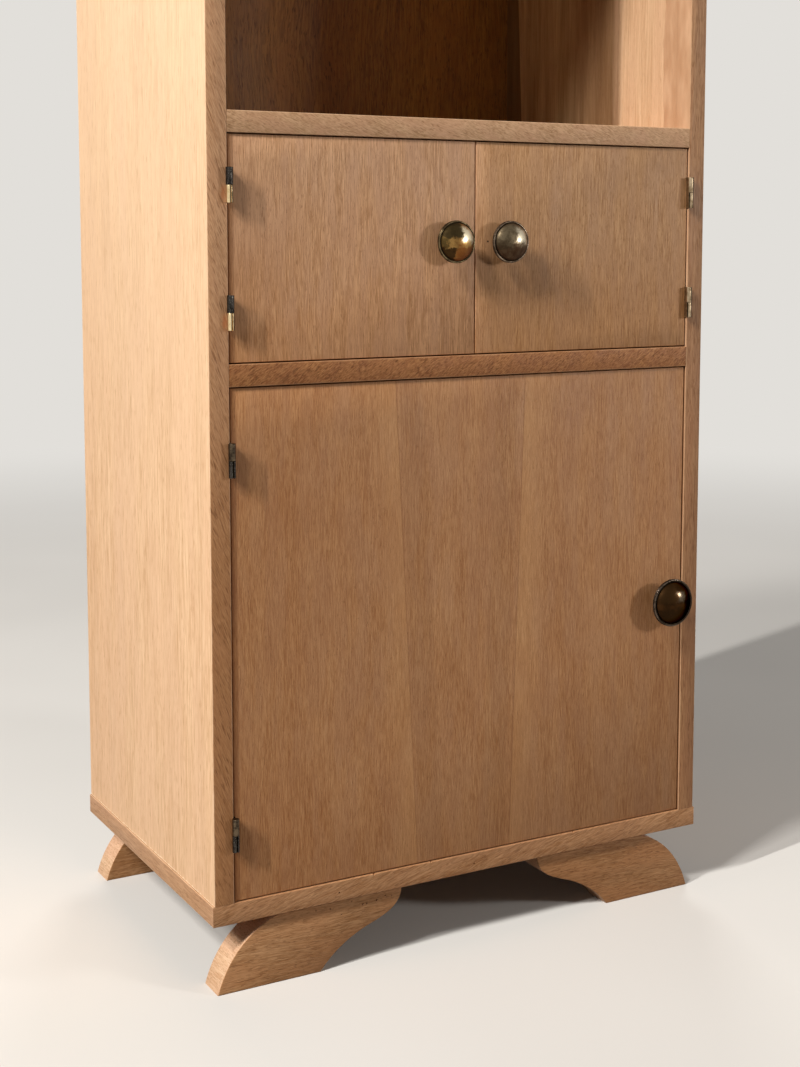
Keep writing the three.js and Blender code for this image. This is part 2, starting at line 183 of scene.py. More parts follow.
# Short ways to write nodes
class Field:
    """One output of a node. With +, -, *, / or abs() it adds the node that works the result out."""

    def __init__(self, socket):
        self.socket = socket
        self.tree = socket.id_data

    def __add__(self, other):
        return calc("ADD", self, other)

    def __radd__(self, other):
        return calc("ADD", other, self)

    def __sub__(self, other):
        return calc("SUBTRACT", self, other)

    def __rsub__(self, other):
        return calc("SUBTRACT", other, self)

    def __mul__(self, other):
        return calc("MULTIPLY", self, other)

    def __truediv__(self, other):
        return calc("DIVIDE", self, other)

    def __rtruediv__(self, other):
        return calc("DIVIDE", other, self)

    def __abs__(self):
        return calc("ABSOLUTE", self)


class Outputs:
    """A node's outputs, each by its name or its number."""

    def __init__(self, sockets):
        self.sockets = sockets

    def __getitem__(self, key):
        return Field(self.sockets[key])


def feed(socket, value):
    if isinstance(value, Field):
        value.tree.links.new(value.socket, socket)
    else:
        socket.default_value = value


def add(tree, kind, inputs=None, **settings):
    node = tree.nodes.new("ShaderNode" + kind)
    for name, value in settings.items():
        setattr(node, name, value)
    for key, value in (inputs or {}).items():
        feed(node.inputs[key], value)
    return Outputs(node.outputs)


def is_vector(value):
    if isinstance(value, Field):
        return value.socket.type != "VALUE"
    return hasattr(value, "__len__")


def calc(operation, first, second=None):
    """A math node, or a vector math node where a value is a vector or a colour."""
    tree = (first if isinstance(first, Field) else second).tree
    kind, nothing = ("VectorMath", (0, 0, 0)) if is_vector(first) or is_vector(second) else ("Math", 0.0)
    return add(tree, kind, {0: first, 1: nothing if second is None else second}, operation=operation)[0]


def least(first, *others):
    for other in others:
        first = calc("MINIMUM", first, other)
    return first


def most(first, *others):
    for other in others:
        first = calc("MAXIMUM", first, other)
    return first


def clamped(field):
    """Holds a sum or a difference between 0 and 1."""
    field.socket.node.use_clamp = True
    return field


def length(vector):
    return add(vector.tree, "VectorMath", {0: vector}, operation="LENGTH")["Value"]


def spread(value, low, high, to_low=0.0, to_high=1.0, smooth=False):
    """Maps the values between low and high to another range, and holds what lies outside."""
    inputs = {"Value": value, "From Min": low, "From Max": high, "To Min": to_low, "To Max": to_high}
    kind = "SMOOTHSTEP" if smooth else "LINEAR"
    return add(value.tree, "MapRange", inputs, interpolation_type=kind)[0]


def between(value, rise, fall, smooth=False):
    """1 between two slopes, 0 outside them."""
    return spread(value, *rise, smooth=smooth) * spread(value, *fall, 1.0, 0.0, smooth=smooth)


def mix(share, first, second, blend="MIX"):
    return add(share.tree, "Mix", {0: share, 6: first, 7: second}, data_type="RGBA", blend_type=blend)[2]


def noise(vector, scale=1.0, detail=2.0, roughness=0.5, output="Fac"):
    inputs = {"Vector": vector, "Scale": scale, "Detail": detail, "Roughness": roughness}
    return add(vector.tree, "TexNoise", inputs)[output]


def combine(x, y, z):
    return add(x.tree, "CombineXYZ", {0: x, 1: y, 2: z})[0]


def separate(vector):
    parts = add(vector.tree, "SeparateXYZ", {0: vector})
    return parts[0], parts[1], parts[2]


def start_group(name, inputs, outputs):
    """A node group. inputs and outputs name its sockets by their kind, and each use feeds every input."""
    tree = bpy.data.node_groups.new(name, "ShaderNodeTree")
    for side, sockets in (("INPUT", inputs), ("OUTPUT", outputs)):
        for kind, labels in sockets.items():
            for label in labels:
                tree.interface.new_socket(name=label, in_out=side, socket_type="NodeSocket" + kind)
    given = Outputs(tree.nodes.new("NodeGroupInput").outputs)
    return tree, given, tree.nodes.new("NodeGroupOutput").inputs


def use(group, inputs):
    return add(inputs["Vector"].tree, "Group", inputs, node_tree=group)


# Shader groups that several finishes share
def oak_grain_group():
    """Oak with its grain along Z: broad bands, growth lines, fine fibres and short open pores."""
    tree, given, made = start_group(
        "Oak grain",
        {
            "Vector": ["Vector"],
            "Color": ["Light", "Dark", "Blush", "Pore Colour"],
            "Float": [
                "Line Pitch", "Line Length", "Pore Pitch", "Pore Length", "Ring Pitch", "Wander",
                "Band Share", "Line Share", "Ring Share", "Pore Share", "Pore Level", "Blush Share",
            ],
        },
        {"Color": ["Colour"], "Float": ["Relief", "Dryness"]},
    )
    drift = noise(given["Vector"], scale=7.0, detail=1.0, output="Color")
    sway = drift - (0.5, 0.5, 0.5)
    reach = combine(given["Wander"], given["Wander"], 0.0)
    placed = given["Vector"] + sway * reach
    line_size = combine(given["Line Pitch"], given["Line Pitch"], given["Line Length"])
    line_place = placed / line_size
    pore_size = combine(given["Pore Pitch"], given["Pore Pitch"], given["Pore Length"])
    pore_place = placed / pore_size
    lines = spread(noise(line_place, 1.0, 2.0, 0.65), 0.36, 0.64)
    streaks = spread(noise(line_place, 0.27, 2.0, 0.5), 0.3, 0.7)
    band_place = line_place * (0.045, 0.045, 0.16)
    bands = spread(noise(band_place, 1.0, 2.0, 0.45), 0.35, 0.65)
    blush_place = band_place + (31.7, 5.3, 8.1)
    blushes = spread(noise(blush_place, 1.3, 1.0, 0.5), 0.42, 0.62)
    across, deep, _ = separate(placed)
    count = (across + deep * 0.6) / given["Ring Pitch"]
    uneven = noise(line_place * (0.2, 0.2, 0.5), 1.0, 1.0, 0.5)
    ring = calc("FRACT", count + uneven * 5.0)
    late = spread(ring, 0.35, 0.9, smooth=True)
    rings = late * spread(ring, 0.93, 1.0, 1.0, 0.0)
    rings = rings * spread(noise(line_place, 0.6, 1.0, 0.5), 0.35, 0.6, 0.25, 1.0)
    dashes = noise(pore_place, 1.0, 1.0, 0.4)
    pores = spread(dashes, given["Pore Level"], given["Pore Level"] + 0.08)
    crowding = given["Ring Share"] * -0.7
    pores = pores * spread(rings, 0.0, 0.6, crowding + 1.0, 1.0)
    pores = pores * spread(streaks, 0.0, 0.9, 1.0, 0.45)
    tone = 0.5
    for share, part in (("Band Share", bands), ("Band Share", streaks), ("Line Share", lines)):
        swing = (part - 0.5) * given[share]
        tone = tone + swing
    tone = most(least(tone, 1.15), -0.15)
    tones = {0: tone, 6: given["Dark"], 7: given["Light"]}
    colour = add(tree, "Mix", tones, data_type="RGBA", clamp_factor=False)[2]
    colour = mix(blushes * given["Blush Share"], colour, given["Blush"])
    marks = pores * given["Pore Share"]
    marks = most(marks, rings * given["Ring Share"])
    colour = mix(marks, colour, given["Pore Colour"])
    feed(made["Colour"], colour)
    feed(made["Relief"], lines * 0.35 - most(pores, marks))
    feed(made["Dryness"], pores * 0.5 + bands * 0.5)
    return tree


def worn_arris_group():
    """Where hands and cloths have worn the edges of a square board: 1 on its arrises, 0 on its faces."""
    tree, given, made = start_group(
        "Worn arris",
        {"Vector": ["Vector", "Centre", "Half Size"], "Float": ["Reach"]},
        {"Float": ["Mask"]},
    )
    off = abs(given["Vector"] - given["Centre"])
    x, y, z = separate(given["Half Size"] - off)
    nearer = least(x, y)
    farther = most(x, y)
    edge = most(nearer, least(farther, z))
    patchy = spread(noise(given["Vector"], 60.0, 3.0, 0.6), 0.3, 0.7, 0.35, 1.3)
    reach = given["Reach"] * patchy
    feed(made["Mask"], clamped(1.0 - edge / reach))
    return tree


def stain_group():
    """A soft-edged, uneven spot about a place."""
    tree, given, made = start_group(
        "Stain",
        {"Vector": ["Vector", "Place", "Size"], "Float": ["Grain Size"]},
        {"Float": ["Mask"]},
    )
    off = (given["Vector"] - given["Place"]) / given["Size"]
    reach = length(off)
    ragged = noise(given["Vector"], 1.0 / given["Grain Size"], 3.0, 0.6)
    reach = reach + (ragged - 0.5) * 1.4
    feed(made["Mask"], spread(reach, 0.35, 1.1, 1.0, 0.0, smooth=True))
    return tree


def veneer_seam_group():
    """A straight joint between two leaves of veneer on a face that looks forward."""
    tree, given, made = start_group(
        "Veneer seam",
        {"Vector": ["Vector", "Top", "Foot"], "Float": ["Width"]},
        {"Float": ["Right", "Past"]},
    )
    x, _, z = separate(given["Vector"])
    top_x, _, top_z = separate(given["Top"])
    foot_x, _, foot_z = separate(given["Foot"])
    seam_x = spread(z, foot_z, top_z, foot_x, top_x)
    past = x - seam_x
    half = given["Width"] * 0.25
    feed(made["Right"], spread(past, half * -1.0, half))
    feed(made["Past"], past)
    return tree


def patina_group():
    """Old brass: bright metal, duller patches and small dark specks."""
    tree, given, made = start_group(
        "Patina",
        {
            "Vector": ["Vector"],
            "Color": ["Bright", "Dull", "Dirt"],
            "Float": ["Patch Size", "Patch Level", "Speck Level"],
        },
        {"Color": ["Colour"], "Float": ["Dullness", "Relief"]},
    )
    place = given["Vector"] / combine(*[given["Patch Size"]] * 3)
    cloud = noise(place, 1.0, 4.0, 0.62)
    low = given["Patch Level"] - 0.1
    high = given["Patch Level"] + 0.12
    patches = spread(cloud, low, high)
    fine = noise(place, 11.0, 3.0, 0.6)
    specks = spread(fine, given["Speck Level"], given["Speck Level"] + 0.06)
    colour = mix(patches, given["Bright"], given["Dull"])
    feed(made["Colour"], mix(specks * 0.8, colour, given["Dirt"]))
    dull = patches * 0.6 + fine * 0.4
    feed(made["Dullness"], most(dull, specks))
    feed(made["Relief"], cloud * 0.3 - specks)
    return tree


def reflection_and_tarnish_group():
    """A field of tarnish and painted reflection between two corners, with a ragged edge: 1 inside it, 0
    outside.
    """
    tree, given, made = start_group(
        "Reflection and tarnish",
        {"Vector": ["Vector", "Low", "High"], "Float": ["Softness"]},
        {"Float": ["Mask"]},
    )
    wobble = noise(given["Vector"], 170.0, 5.0, 0.68, output="Color") - (0.5, 0.5, 0.5)
    placed = given["Vector"] + wobble * (15 * MM, 0, 15 * MM)
    above = separate(placed - given["Low"])
    below = separate(given["High"] - placed)
    depth = least(least(above[0], above[2]), least(below[0], below[2]))
    feed(made["Mask"], spread(depth / given["Softness"], -1.0, 1.0, smooth=True))
    return tree


oak_grain = oak_grain_group()
worn_arris = worn_arris_group()
stain = stain_group()
veneer_seam = veneer_seam_group()
patina = patina_group()
reflection_and_tarnish = reflection_and_tarnish_group()

BUMP_STRENGTH = 0.6
OAK_ROUGHNESS = (0.5, 0.72)
OAK_RELIEF = 0.25 * MM
METAL_RELIEF = 0.03 * MM
WORN_REACH = 1.4 * MM
WORN_SHARE = 0.55

# Which way the grain runs: the turn that lays Z along it
UPRIGHT = (0, 0, 0)
ACROSS = (0, 90, 0)
INWARD = (90, 0, 0)


def start_material(name):
    material = bpy.data.materials.new(name)
    material.use_nodes = True
    material.node_tree.nodes.clear()
    tree = material.node_tree
    return material, tree, add(tree, "TexCoord")["Object"]


def finish_material(colour, roughness, relief, relief_depth, metallic=0.0, specular=0.5, edge=(1, 1, 1)):
    tree = colour.tree
    bump = add(tree, "Bump", {"Height": relief, "Strength": BUMP_STRENGTH, "Distance": relief_depth})[0]
    inputs = {
        "Base Color": colour,
        "Roughness": roughness,
        "Metallic": metallic,
        "Specular IOR Level": specular,
        "Specular Tint": (*edge, 1.0),
        "Normal": bump,
    }
    shader = add(tree, "BsdfPrincipled", inputs)[0]
    add(tree, "OutputMaterial", {"Surface": shader})


def laid(place, turn, centre):
    """Coordinates centred on a point, with Z along the grain."""
    rotation = tuple(math.radians(angle) for angle in turn)
    inputs = {"Vector": place, "Location": centre, "Rotation": rotation}
    return add(place.tree, "Mapping", inputs, vector_type="TEXTURE")[0]


def oak(name, light, dark, blush, pore, turn, seed, lines=(2.2, 90, 0.6), pores=(0.9, 9, 0.6, 0.6),
        rings=(4, 0), bands=0.5, blushes=0.5, wander=3, worn=None, worn_colour=None, before=None, after=None):
    """An oak finish. lines has the growth lines' pitch, length and share, pores the same and a level, and
    rings a pitch and a share, with lengths in millimetres. worn has the two corners of a board whose arrises
    show wear. before changes where the grain is taken, and after changes its colour."""
    material, tree, place = start_material(name)
    vector = laid(place, turn, (seed * 0.731, seed * 0.417, seed * 0.293))
    if before:
        vector = before(place, vector)
    colours = {"Light": srgb(*light), "Dark": srgb(*dark), "Blush": srgb(*blush), "Pore Colour": srgb(*pore)}
    sizes = {
        "Line Pitch": lines[0] * MM,
        "Line Length": lines[1] * MM,
        "Line Share": lines[2],
        "Pore Pitch": pores[0] * MM,
        "Pore Length": pores[1] * MM,
        "Pore Share": pores[2],
        "Pore Level": pores[3],
        "Ring Pitch": rings[0] * MM,
        "Ring Share": rings[1],
        "Band Share": bands,
        "Blush Share": blushes,
        "Wander": wander * MM,
    }
    figure = use(oak_grain, {"Vector": vector, **colours, **sizes})
    colour = figure["Colour"]
    if after:
        colour = after(place, colour)
    if worn:
        low, high = (Vector(corner) for corner in worn)
        board = {"Centre": (low + high) / 2, "Half Size": (high - low) / 2, "Reach": WORN_REACH}
        mask = use(worn_arris, {"Vector": place, **board})["Mask"]
        colour = mix(mask * WORN_SHARE, colour, srgb(*worn_colour))
    roughness = spread(figure["Dryness"], 0.0, 1.0, *OAK_ROUGHNESS)
    finish_material(colour, roughness, figure["Relief"], OAK_RELIEF, specular=0.3)
    return material


def shade(share, colour, tint):
    """Multiplies a colour by a tint, by a share."""
    return mix(share, colour, (*tint, 1.0), blend="MULTIPLY")


def spot(place, where, size, grain_size):
    """A stain's mask about a place given in millimetres."""
    inputs = {
        "Vector": place,
        "Place": [part * MM for part in where],
        "Size": [part * MM for part in size],
        "Grain Size": grain_size * MM,
    }
    return use(stain, inputs)["Mask"]


# Modelling helpers. Points nearer than TOUCH are one, and an edge that turns by more than SHARP is sharp
TOUCH = 0.001 * MM
SHARP = math.radians(30)


def deselect():
    bpy.ops.object.select_all(action="DESELECT")


def take_all():
    bpy.ops.mesh.select_all(action="SELECT")


def pick(piece):
    deselect()
    piece.select_set(True)
    bpy.context.view_layer.objects.active = piece


def named(name):
    piece = bpy.context.object
    piece.name = name
    piece.data.name = name
    return piece


def set_in_place():
    bpy.ops.object.transform_apply(location=True, rotation=True, scale=True)


def edit(piece, kind="EDGE"):
    """Opens a piece in edit mode with nothing selected."""
    pick(piece)
    bpy.ops.object.mode_set(mode="EDIT")
    bpy.ops.mesh.select_mode(type=kind)
    bpy.ops.mesh.select_all(action="DESELECT")
    return bmesh.from_edit_mesh(piece.data)


def choose(piece, mesh, parts, test):
    for part in parts:
        if test(part):
            part.select_set(True)
    mesh.select_flush_mode()
    bmesh.update_edit_mesh(piece.data)


def done():
    bpy.ops.object.mode_set(mode="OBJECT")


def block(name, one, other):
    """A blank between two opposite corners."""
    low = Vector(min(pair) for pair in zip(one, other))
    high = Vector(max(pair) for pair in zip(one, other))
    deselect()
    bpy.ops.mesh.primitive_cube_add(size=1, location=(low + high) / 2, scale=high - low)
    set_in_place()
    return named(name)


def rod(name, start, end, radius, vertices=32):
    axis = Vector(end) - Vector(start)
    deselect()
    bpy.ops.mesh.primitive_cylinder_add(
        vertices=vertices, radius=radius, depth=axis.length, location=(Vector(start) + Vector(end)) / 2,
        rotation=axis.to_track_quat("Z", "Y").to_euler(),
    )
    set_in_place()
    return named(name)


def saw(piece, point, direction):
    """Cuts away what lies past a plane, and closes the cut."""
    edit(piece)
    take_all()
    square_on = Vector(direction).normalized()
    bpy.ops.mesh.bisect(plane_co=point, plane_no=square_on, use_fill=True, clear_outer=True, threshold=TOUCH)
    done()


def shape_with(piece, tools, operation):
    for tool in tools:
        pick(piece)
        change = piece.modifiers.new("shaping", "BOOLEAN")
        change.operation = operation
        change.solver = "EXACT"
        change.object = tool
        bpy.ops.object.modifier_apply(modifier=change.name)
        bpy.data.objects.remove(tool)


def carve(piece, tools):
    shape_with(piece, tools, "DIFFERENCE")


def weld(piece, tools):
    shape_with(piece, tools, "UNION")


def ease_where(piece, test, width, segments=3):
    """Rounds the edges that pass a test."""
    mesh = edit(piece)
    choose(piece, mesh, mesh.edges, test)
    bpy.ops.mesh.bevel(offset=width, segments=segments, affect="EDGES")
    done()


def ease(piece, bare, width):
    """Eases each edge that lies between two bare faces. bare holds their outward directions."""
    def is_bare(face):
        return any(face.normal.dot(direction) > 0.98 for direction in bare)

    def between_bare(edge):
        faces = edge.link_faces
        return len(faces) == 2 and all(map(is_bare, faces)) and faces[0].normal.dot(faces[1].normal) < 0.9

    ease_where(piece, between_bare, width)


def ease_all(piece, width, segments=3):
    """Eases every sharp edge."""
    ease_where(piece, lambda edge: edge.is_manifold and edge.calc_face_angle(0) > SHARP, width, segments)


def mend_normals(piece):
    edit(piece)
    take_all()
    bpy.ops.mesh.remove_doubles(threshold=TOUCH)
    bpy.ops.mesh.normals_make_consistent(inside=False)
    done()


def drawn(name, points, origin=(0, 0, 0)):
    """A line through points about an origin, left open in edit mode."""
    deselect()
    bpy.ops.mesh.primitive_plane_add(size=1)
    piece = named(name)
    edit(piece, "VERT")
    take_all()
    bpy.ops.mesh.merge(type="CENTER")
    bpy.ops.transform.translate(value=[start + off for start, off in zip(origin, points[0])])
    for here, there in zip(points, points[1:]):
        step = [end - start for start, end in zip(here, there)]
        bpy.ops.mesh.extrude_vertices_move(TRANSFORM_OT_translate={"value": step})
    return piece


def spun(name, profile, steps=96):
    """Turns a profile of (radius, height) points about Z. It starts and ends on the axis."""
    piece = drawn(name, [(radius, 0, height) for radius, height in profile])
    take_all()
    bpy.ops.mesh.spin(steps=steps, angle=2 * math.pi, center=(0, 0, 0), axis=(0, 0, 1))
    done()
    mend_normals(piece)
    return piece


def move_to(piece, place, rotation=(0, 0, 0), scale=(1, 1, 1)):
    piece.rotation_euler = rotation
    piece.scale = scale
    piece.location = place
    pick(piece)
    set_in_place()
    if scale[0] * scale[1] * scale[2] < 0:
        mend_normals(piece)


def copy_of(piece, name):
    pick(piece)
    bpy.ops.object.duplicate()
    return named(name)


def arc(centre, radius, start, end, steps):
    """Points on an arc in a turning profile. The angles are in degrees from the radius towards the height."""
    angles = [math.radians(start + (end - start) * i / steps) for i in range(steps + 1)]
    return [(centre[0] + radius * math.cos(a), centre[1] + radius * math.sin(a)) for a in angles]


def finish(piece, material, node, angle=35):
    """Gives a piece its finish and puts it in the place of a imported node."""
    pick(piece)
    bpy.ops.object.shade_smooth_by_angle(angle=math.radians(angle))
    piece.data.materials.clear()
    piece.data.materials.append(material)
    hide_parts(node)
    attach(piece, body_of[node])


def face_finish(piece, material, test):
    """Gives some of a finished piece's faces another finish."""
    piece.data.materials.append(material)
    slot = len(piece.data.materials) - 1
    mesh = edit(piece, "FACE")
    choose(piece, mesh, mesh.faces, test)
    piece.active_material_index = slot
    bpy.ops.object.material_slot_assign()
    done()


def dress(node, material):
    """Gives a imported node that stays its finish."""
    packed = frame["nodes"][node]
    packed.data.materials.clear()
    packed.data.materials.append(material)


# Finishes of the wood. A worn board's corner lies this far off where a side is glued up, with no worn edge
GLUED = 1.0

# The heights of the boards' undersides and tops, and how far the bottom board stands out
BOTTOM_BOARD = (66 * MM, 85 * MM)
MIDDLE_BOARD = (550 * MM, 570 * MM)
NICHE_BOARD = (770 * MM, 789 * MM)
OVERHANG = 1.5 * MM


def between_sides(heights):
    """The worn corners of a board that is glued between the sides."""
    low, high = heights
    return (inner_x - GLUED, front_y, low), (-inner_x + GLUED, front_y + 2 * GLUED, high)


def side_painted_light_and_chips(place, colour):
    """The left side: painted light makes it paler towards the top; it is warmer towards the back, with chips
    along its foot.
    """
    _, y, z = separate(place)
    # Painted light: paler towards the top, nearer the lamp.
    colour = mix(spread(z, 0.35, 1.05, 0.0, 0.5), colour, srgb(240, 212, 176))
    colour = shade(spread(y, 0.05, 0.19, 0.0, 0.35), colour, (1.0, 0.93, 0.86))
    ragged = noise(place, 260.0, 2.0, 0.7)
    chip_top = side_low.z + spread(ragged, 0.4, 0.7, 0.2 * MM, 2.2 * MM)
    chips = calc("LESS_THAN", z, chip_top)
    return mix(chips * 0.7, colour, srgb(250, 226, 196))


# How deep the joint between the right side's lipping and its panel lies, as the niche shows it
LIPPING_SEEN = -112 * MM


def right_side(place, colour):
    """The right side. Inside it has painted shade behind where the window light ends and painted light
    further back, dark streaks, painted shade in its rear corner, and painted shade in the gap where the lower
    door closes.
    """
    x, y, z = separate(place)
    inner = calc("LESS_THAN", x, -inner_x + MM)
    colour = shade(inner, colour, (0.88, 0.94, 0.98))
    # Painted shade in a band behind where the window light ends, and painted light further back; the streaks
    # lie in the same zone.
    rear = spread(y, -0.032, -0.026) * inner
    deep = spread(y, 0.03, 0.07)
    colour = shade(rear * deep, colour, (1.16, 1.36, 1.28))
    colour = shade(clamped(rear - deep), colour, (0.78, 0.75, 0.64))
    streak_place = place * (0, 34, 2.6)
    streaks = spread(noise(streak_place, 1.0, 5.0, 0.72), 0.4, 0.66)
    colour = shade(streaks * rear, colour, (0.62, 0.54, 0.46))
    # Painted shade in the rear corner of the niche.
    lean = (z - NICHE_BOARD[1]) * 0.06
    corner = calc("GREATER_THAN", y - lean, 0.148)
    colour = shade(corner * inner, colour, (0.4, 0.34, 0.28))
    ragged = noise(place, 22.0, 2.0, 0.5) * (14 * MM)
    solid = calc("LESS_THAN", y + ragged, LIPPING_SEEN + 3 * MM)
    mottle_place = place * (90, 90, 28)
    mottle = spread(noise(mottle_place, 1.0, 2.0, 0.5), 0.3, 0.7)
    tan = mix(mottle, srgb(180, 138, 104), srgb(200, 160, 126))
    colour = mix(solid * inner, colour, tan)
    # Painted shade in the gap where the lower door closes.
    painted_gap_shade = between(y, (front_y + 0.7 * MM, front_y + 1.1 * MM), (front_y + 18 * MM, front_y + 21 * MM))
    painted_gap_shade = painted_gap_shade * calc("LESS_THAN", z, MIDDLE_BOARD[0])
    return shade(painted_gap_shade * inner, colour, (0.5, 0.4, 0.3))


side_oak = oak(
    "side oak", (238, 199, 159), (212, 168, 126), (232, 190, 152), (188, 142, 98), UPRIGHT, 1.0,
    lines=(1.6, 36, 0.9), pores=(1.2, 12, 0.7, 0.6), rings=(7, 0.1), bands=0.3,
    worn=((outer_x, front_y, -GLUED), (outer_x + GLUED, side_high.y, 2 * GLUED)),
    worn_colour=(248, 222, 188), after=side_painted_light_and_chips,
)
right_side_oak = oak(
    "right side oak", (226, 182, 142), (204, 158, 118), (220, 172, 134), (182, 134, 94), UPRIGHT, 2.0,
    lines=(1.8, 60, 0.9), rings=(4.5, 0.2), bands=0.4,
    worn=((-outer_x - GLUED, front_y, -GLUED), (-outer_x, side_high.y, 2 * GLUED)),
    worn_colour=(240, 208, 170), after=right_side,
)


def left_stile(place, colour):
    """The left stile: darker towards its foot, and red-brown beside the upper doors' knuckles."""
    _, _, z = separate(place)
    colour = shade(spread(z, 0.68, 0.4, 0.0, 1.0), colour, (0.72, 0.62, 0.49))
    for height in (717.4, 607.4):
        rust = spot(place, (-255, -158.5, height), (2.0, 6, 9), 5)
        colour = mix(rust * 0.5, colour, srgb(176, 100, 56))
    return colour


left_stile_oak = oak(
    "left stile oak", (209, 163, 123), (182, 135, 96), (200, 151, 114), (124, 80, 46), (0, -21, 0), 3.0,
    lines=(0.9, 9, 1.0), pores=(0.85, 11, 0.8, 0.59), rings=(3.4, 0.1), bands=0.3, blushes=0.3,
    worn=((outer_x, front_y, -GLUED), (inner_x, 2 * GLUED, 2 * GLUED)), worn_colour=(228, 186, 148),
    after=left_stile,
)


def right_stile(place, colour):
    x, _, z = separate(place)
    colour = shade(spread(z, 0.75, 0.3, 0.1, 1.0), colour, (0.84, 0.8, 0.76))
    return shade(spread(x, -outer_x - 2 * MM, -outer_x, 0.0, 0.5), colour, (0.75, 0.68, 0.6))


right_stile_oak = oak(
    "right stile oak", (186, 140, 100), (156, 111, 74), (180, 129, 93), (120, 78, 45), UPRIGHT, 4.0,
    lines=(1.2, 20, 1.0), pores=(0.9, 9, 0.6, 0.57), bands=0.5,
    worn=((-inner_x, front_y, -GLUED), (-outer_x, 2 * GLUED, 2 * GLUED)), worn_colour=(220, 182, 142),
    after=right_stile,
)

# The upper doors' top and foot, and the small hole beside the right knob, whose shade is painted as a dark
# spot
DOOR_TOP = 768.8 * MM
DOOR_FOOT = 571.2 * MM
SMALL_HOLE = (14.1 * MM, -156.95 * MM, 676.5 * MM)


def painted_edge_shade(x, colour):
    """Painted shade along a door's left edge, beside the stile."""
    return shade(spread(x, -0.2435, -0.2475, 0.0, 0.8), colour, (0.8, 0.66, 0.52))


def upper_door(place, colour):
    """The upper doors are greyer at the top and browner at the foot, the more so by the left hinges."""
    x, _, z = separate(place)
    cloud = (noise(place, 14.0, 2.0, 0.5) - 0.5) * 0.9
    low = clamped(spread(z, DOOR_TOP - 20 * MM, DOOR_FOOT + 20 * MM) + cloud)
    colour = shade(low, colour, (0.93, 0.86, 0.76))
    left = spread(x, -0.17, -0.248, 0.0, 0.6)
    colour = shade(left * low, colour, (0.82, 0.74, 0.64))
    # Painted shade beside the stile.
    colour = painted_edge_shade(x, colour)
    colour = shade(spread(x, 0.0, 0.02), colour, (0.76, 0.74, 0.65))
    # Painted shade: a dark spot stands for the small hole, which is not carved.
    off = add(place.tree, "VectorMath", {0: place, 1: SMALL_HOLE}, operation="DISTANCE")["Value"]
    painted_hole = spread(off, 0.7 * MM, 1.1 * MM, 1.0, 0.0)
    return mix(painted_hole, colour, srgb(34, 20, 12))


upper_door_oak = oak(
    "upper door oak", (222, 174, 133), (186, 138, 97), (206, 161, 129), (148, 102, 65), UPRIGHT, 5.0,
    lines=(0.8, 18, 1.25), pores=(0.75, 5, 0.5, 0.6), rings=(3.2, 0.08), bands=0.3, blushes=0.45,
    after=upper_door,
)

# The lower door's three leaves of veneer: how far right each joint lies at the top and at the foot
LEFT_SEAM = (-85 * MM, -61 * MM)
RIGHT_SEAM = (57.5 * MM, 42 * MM)
SEAM_FOOT = 90 * MM
SEAM_WIDTH = 0.9 * MM


def seam(place, joint):
    ends = {"Top": (joint[0], 0, MIDDLE_BOARD[0]), "Foot": (joint[1], 0, SEAM_FOOT)}
    return use(veneer_seam, {"Vector": place, **ends, "Width": SEAM_WIDTH})


def lower_door_leaves(place, vector):
    """Each leaf of veneer has its own grain."""
    left = seam(place, LEFT_SEAM)["Right"]
    right = seam(place, RIGHT_SEAM)["Right"]
    shift = left * 0.61 + right * 0.37
    return vector + combine(shift, 0.0, shift)


def lower_door(place, colour):
    """Tan strips along the joints, grey-brown bands between them, and browner wood towards the upper left."""
    x, _, z = separate(place)
    left = seam(place, LEFT_SEAM)
    right = seam(place, RIGHT_SEAM)
    tan = spread(left["Past"], -34 * MM, -2 * MM, smooth=True) * (1.0 - left["Right"])
    tan = most(tan, spread(right["Past"], 36 * MM, 6 * MM, smooth=True) * right["Right"])
    colour = mix(tan * 0.28, colour, srgb(212, 161, 110))
    for joint, low, high in ((left, 6, 26), (right, -30, -10)):
        rise = ((low - 6) * MM, low * MM)
        fall = (high * MM, (high + 6) * MM)
        band = between(joint["Past"], rise, fall, smooth=True)
        colour = shade(band * 0.45, colour, (0.84, 0.82, 0.78))
    warm = spread(x, -0.08, -0.24, 0.0, 0.6) * spread(z, 0.15, 0.5, 0.6, 0.75)
    colour = shade(warm, colour, (0.97, 0.88, 0.77))
    # Painted shade beside the stile.
    colour = painted_edge_shade(x, colour)
    cloud_place = place * (34, 34, 13)
    clouds = spread(noise(cloud_place, 1.0, 3.0, 0.6), 0.4, 0.64)
    colour = shade(clouds * 0.7, colour, (0.92, 0.86, 0.79))
    for joint in (left, right):
        dark = between(joint["Past"], (-SEAM_WIDTH, 0.0), (0.0, SEAM_WIDTH))
        colour = shade(dark * 0.6, colour, (0.62, 0.55, 0.48))
    return colour


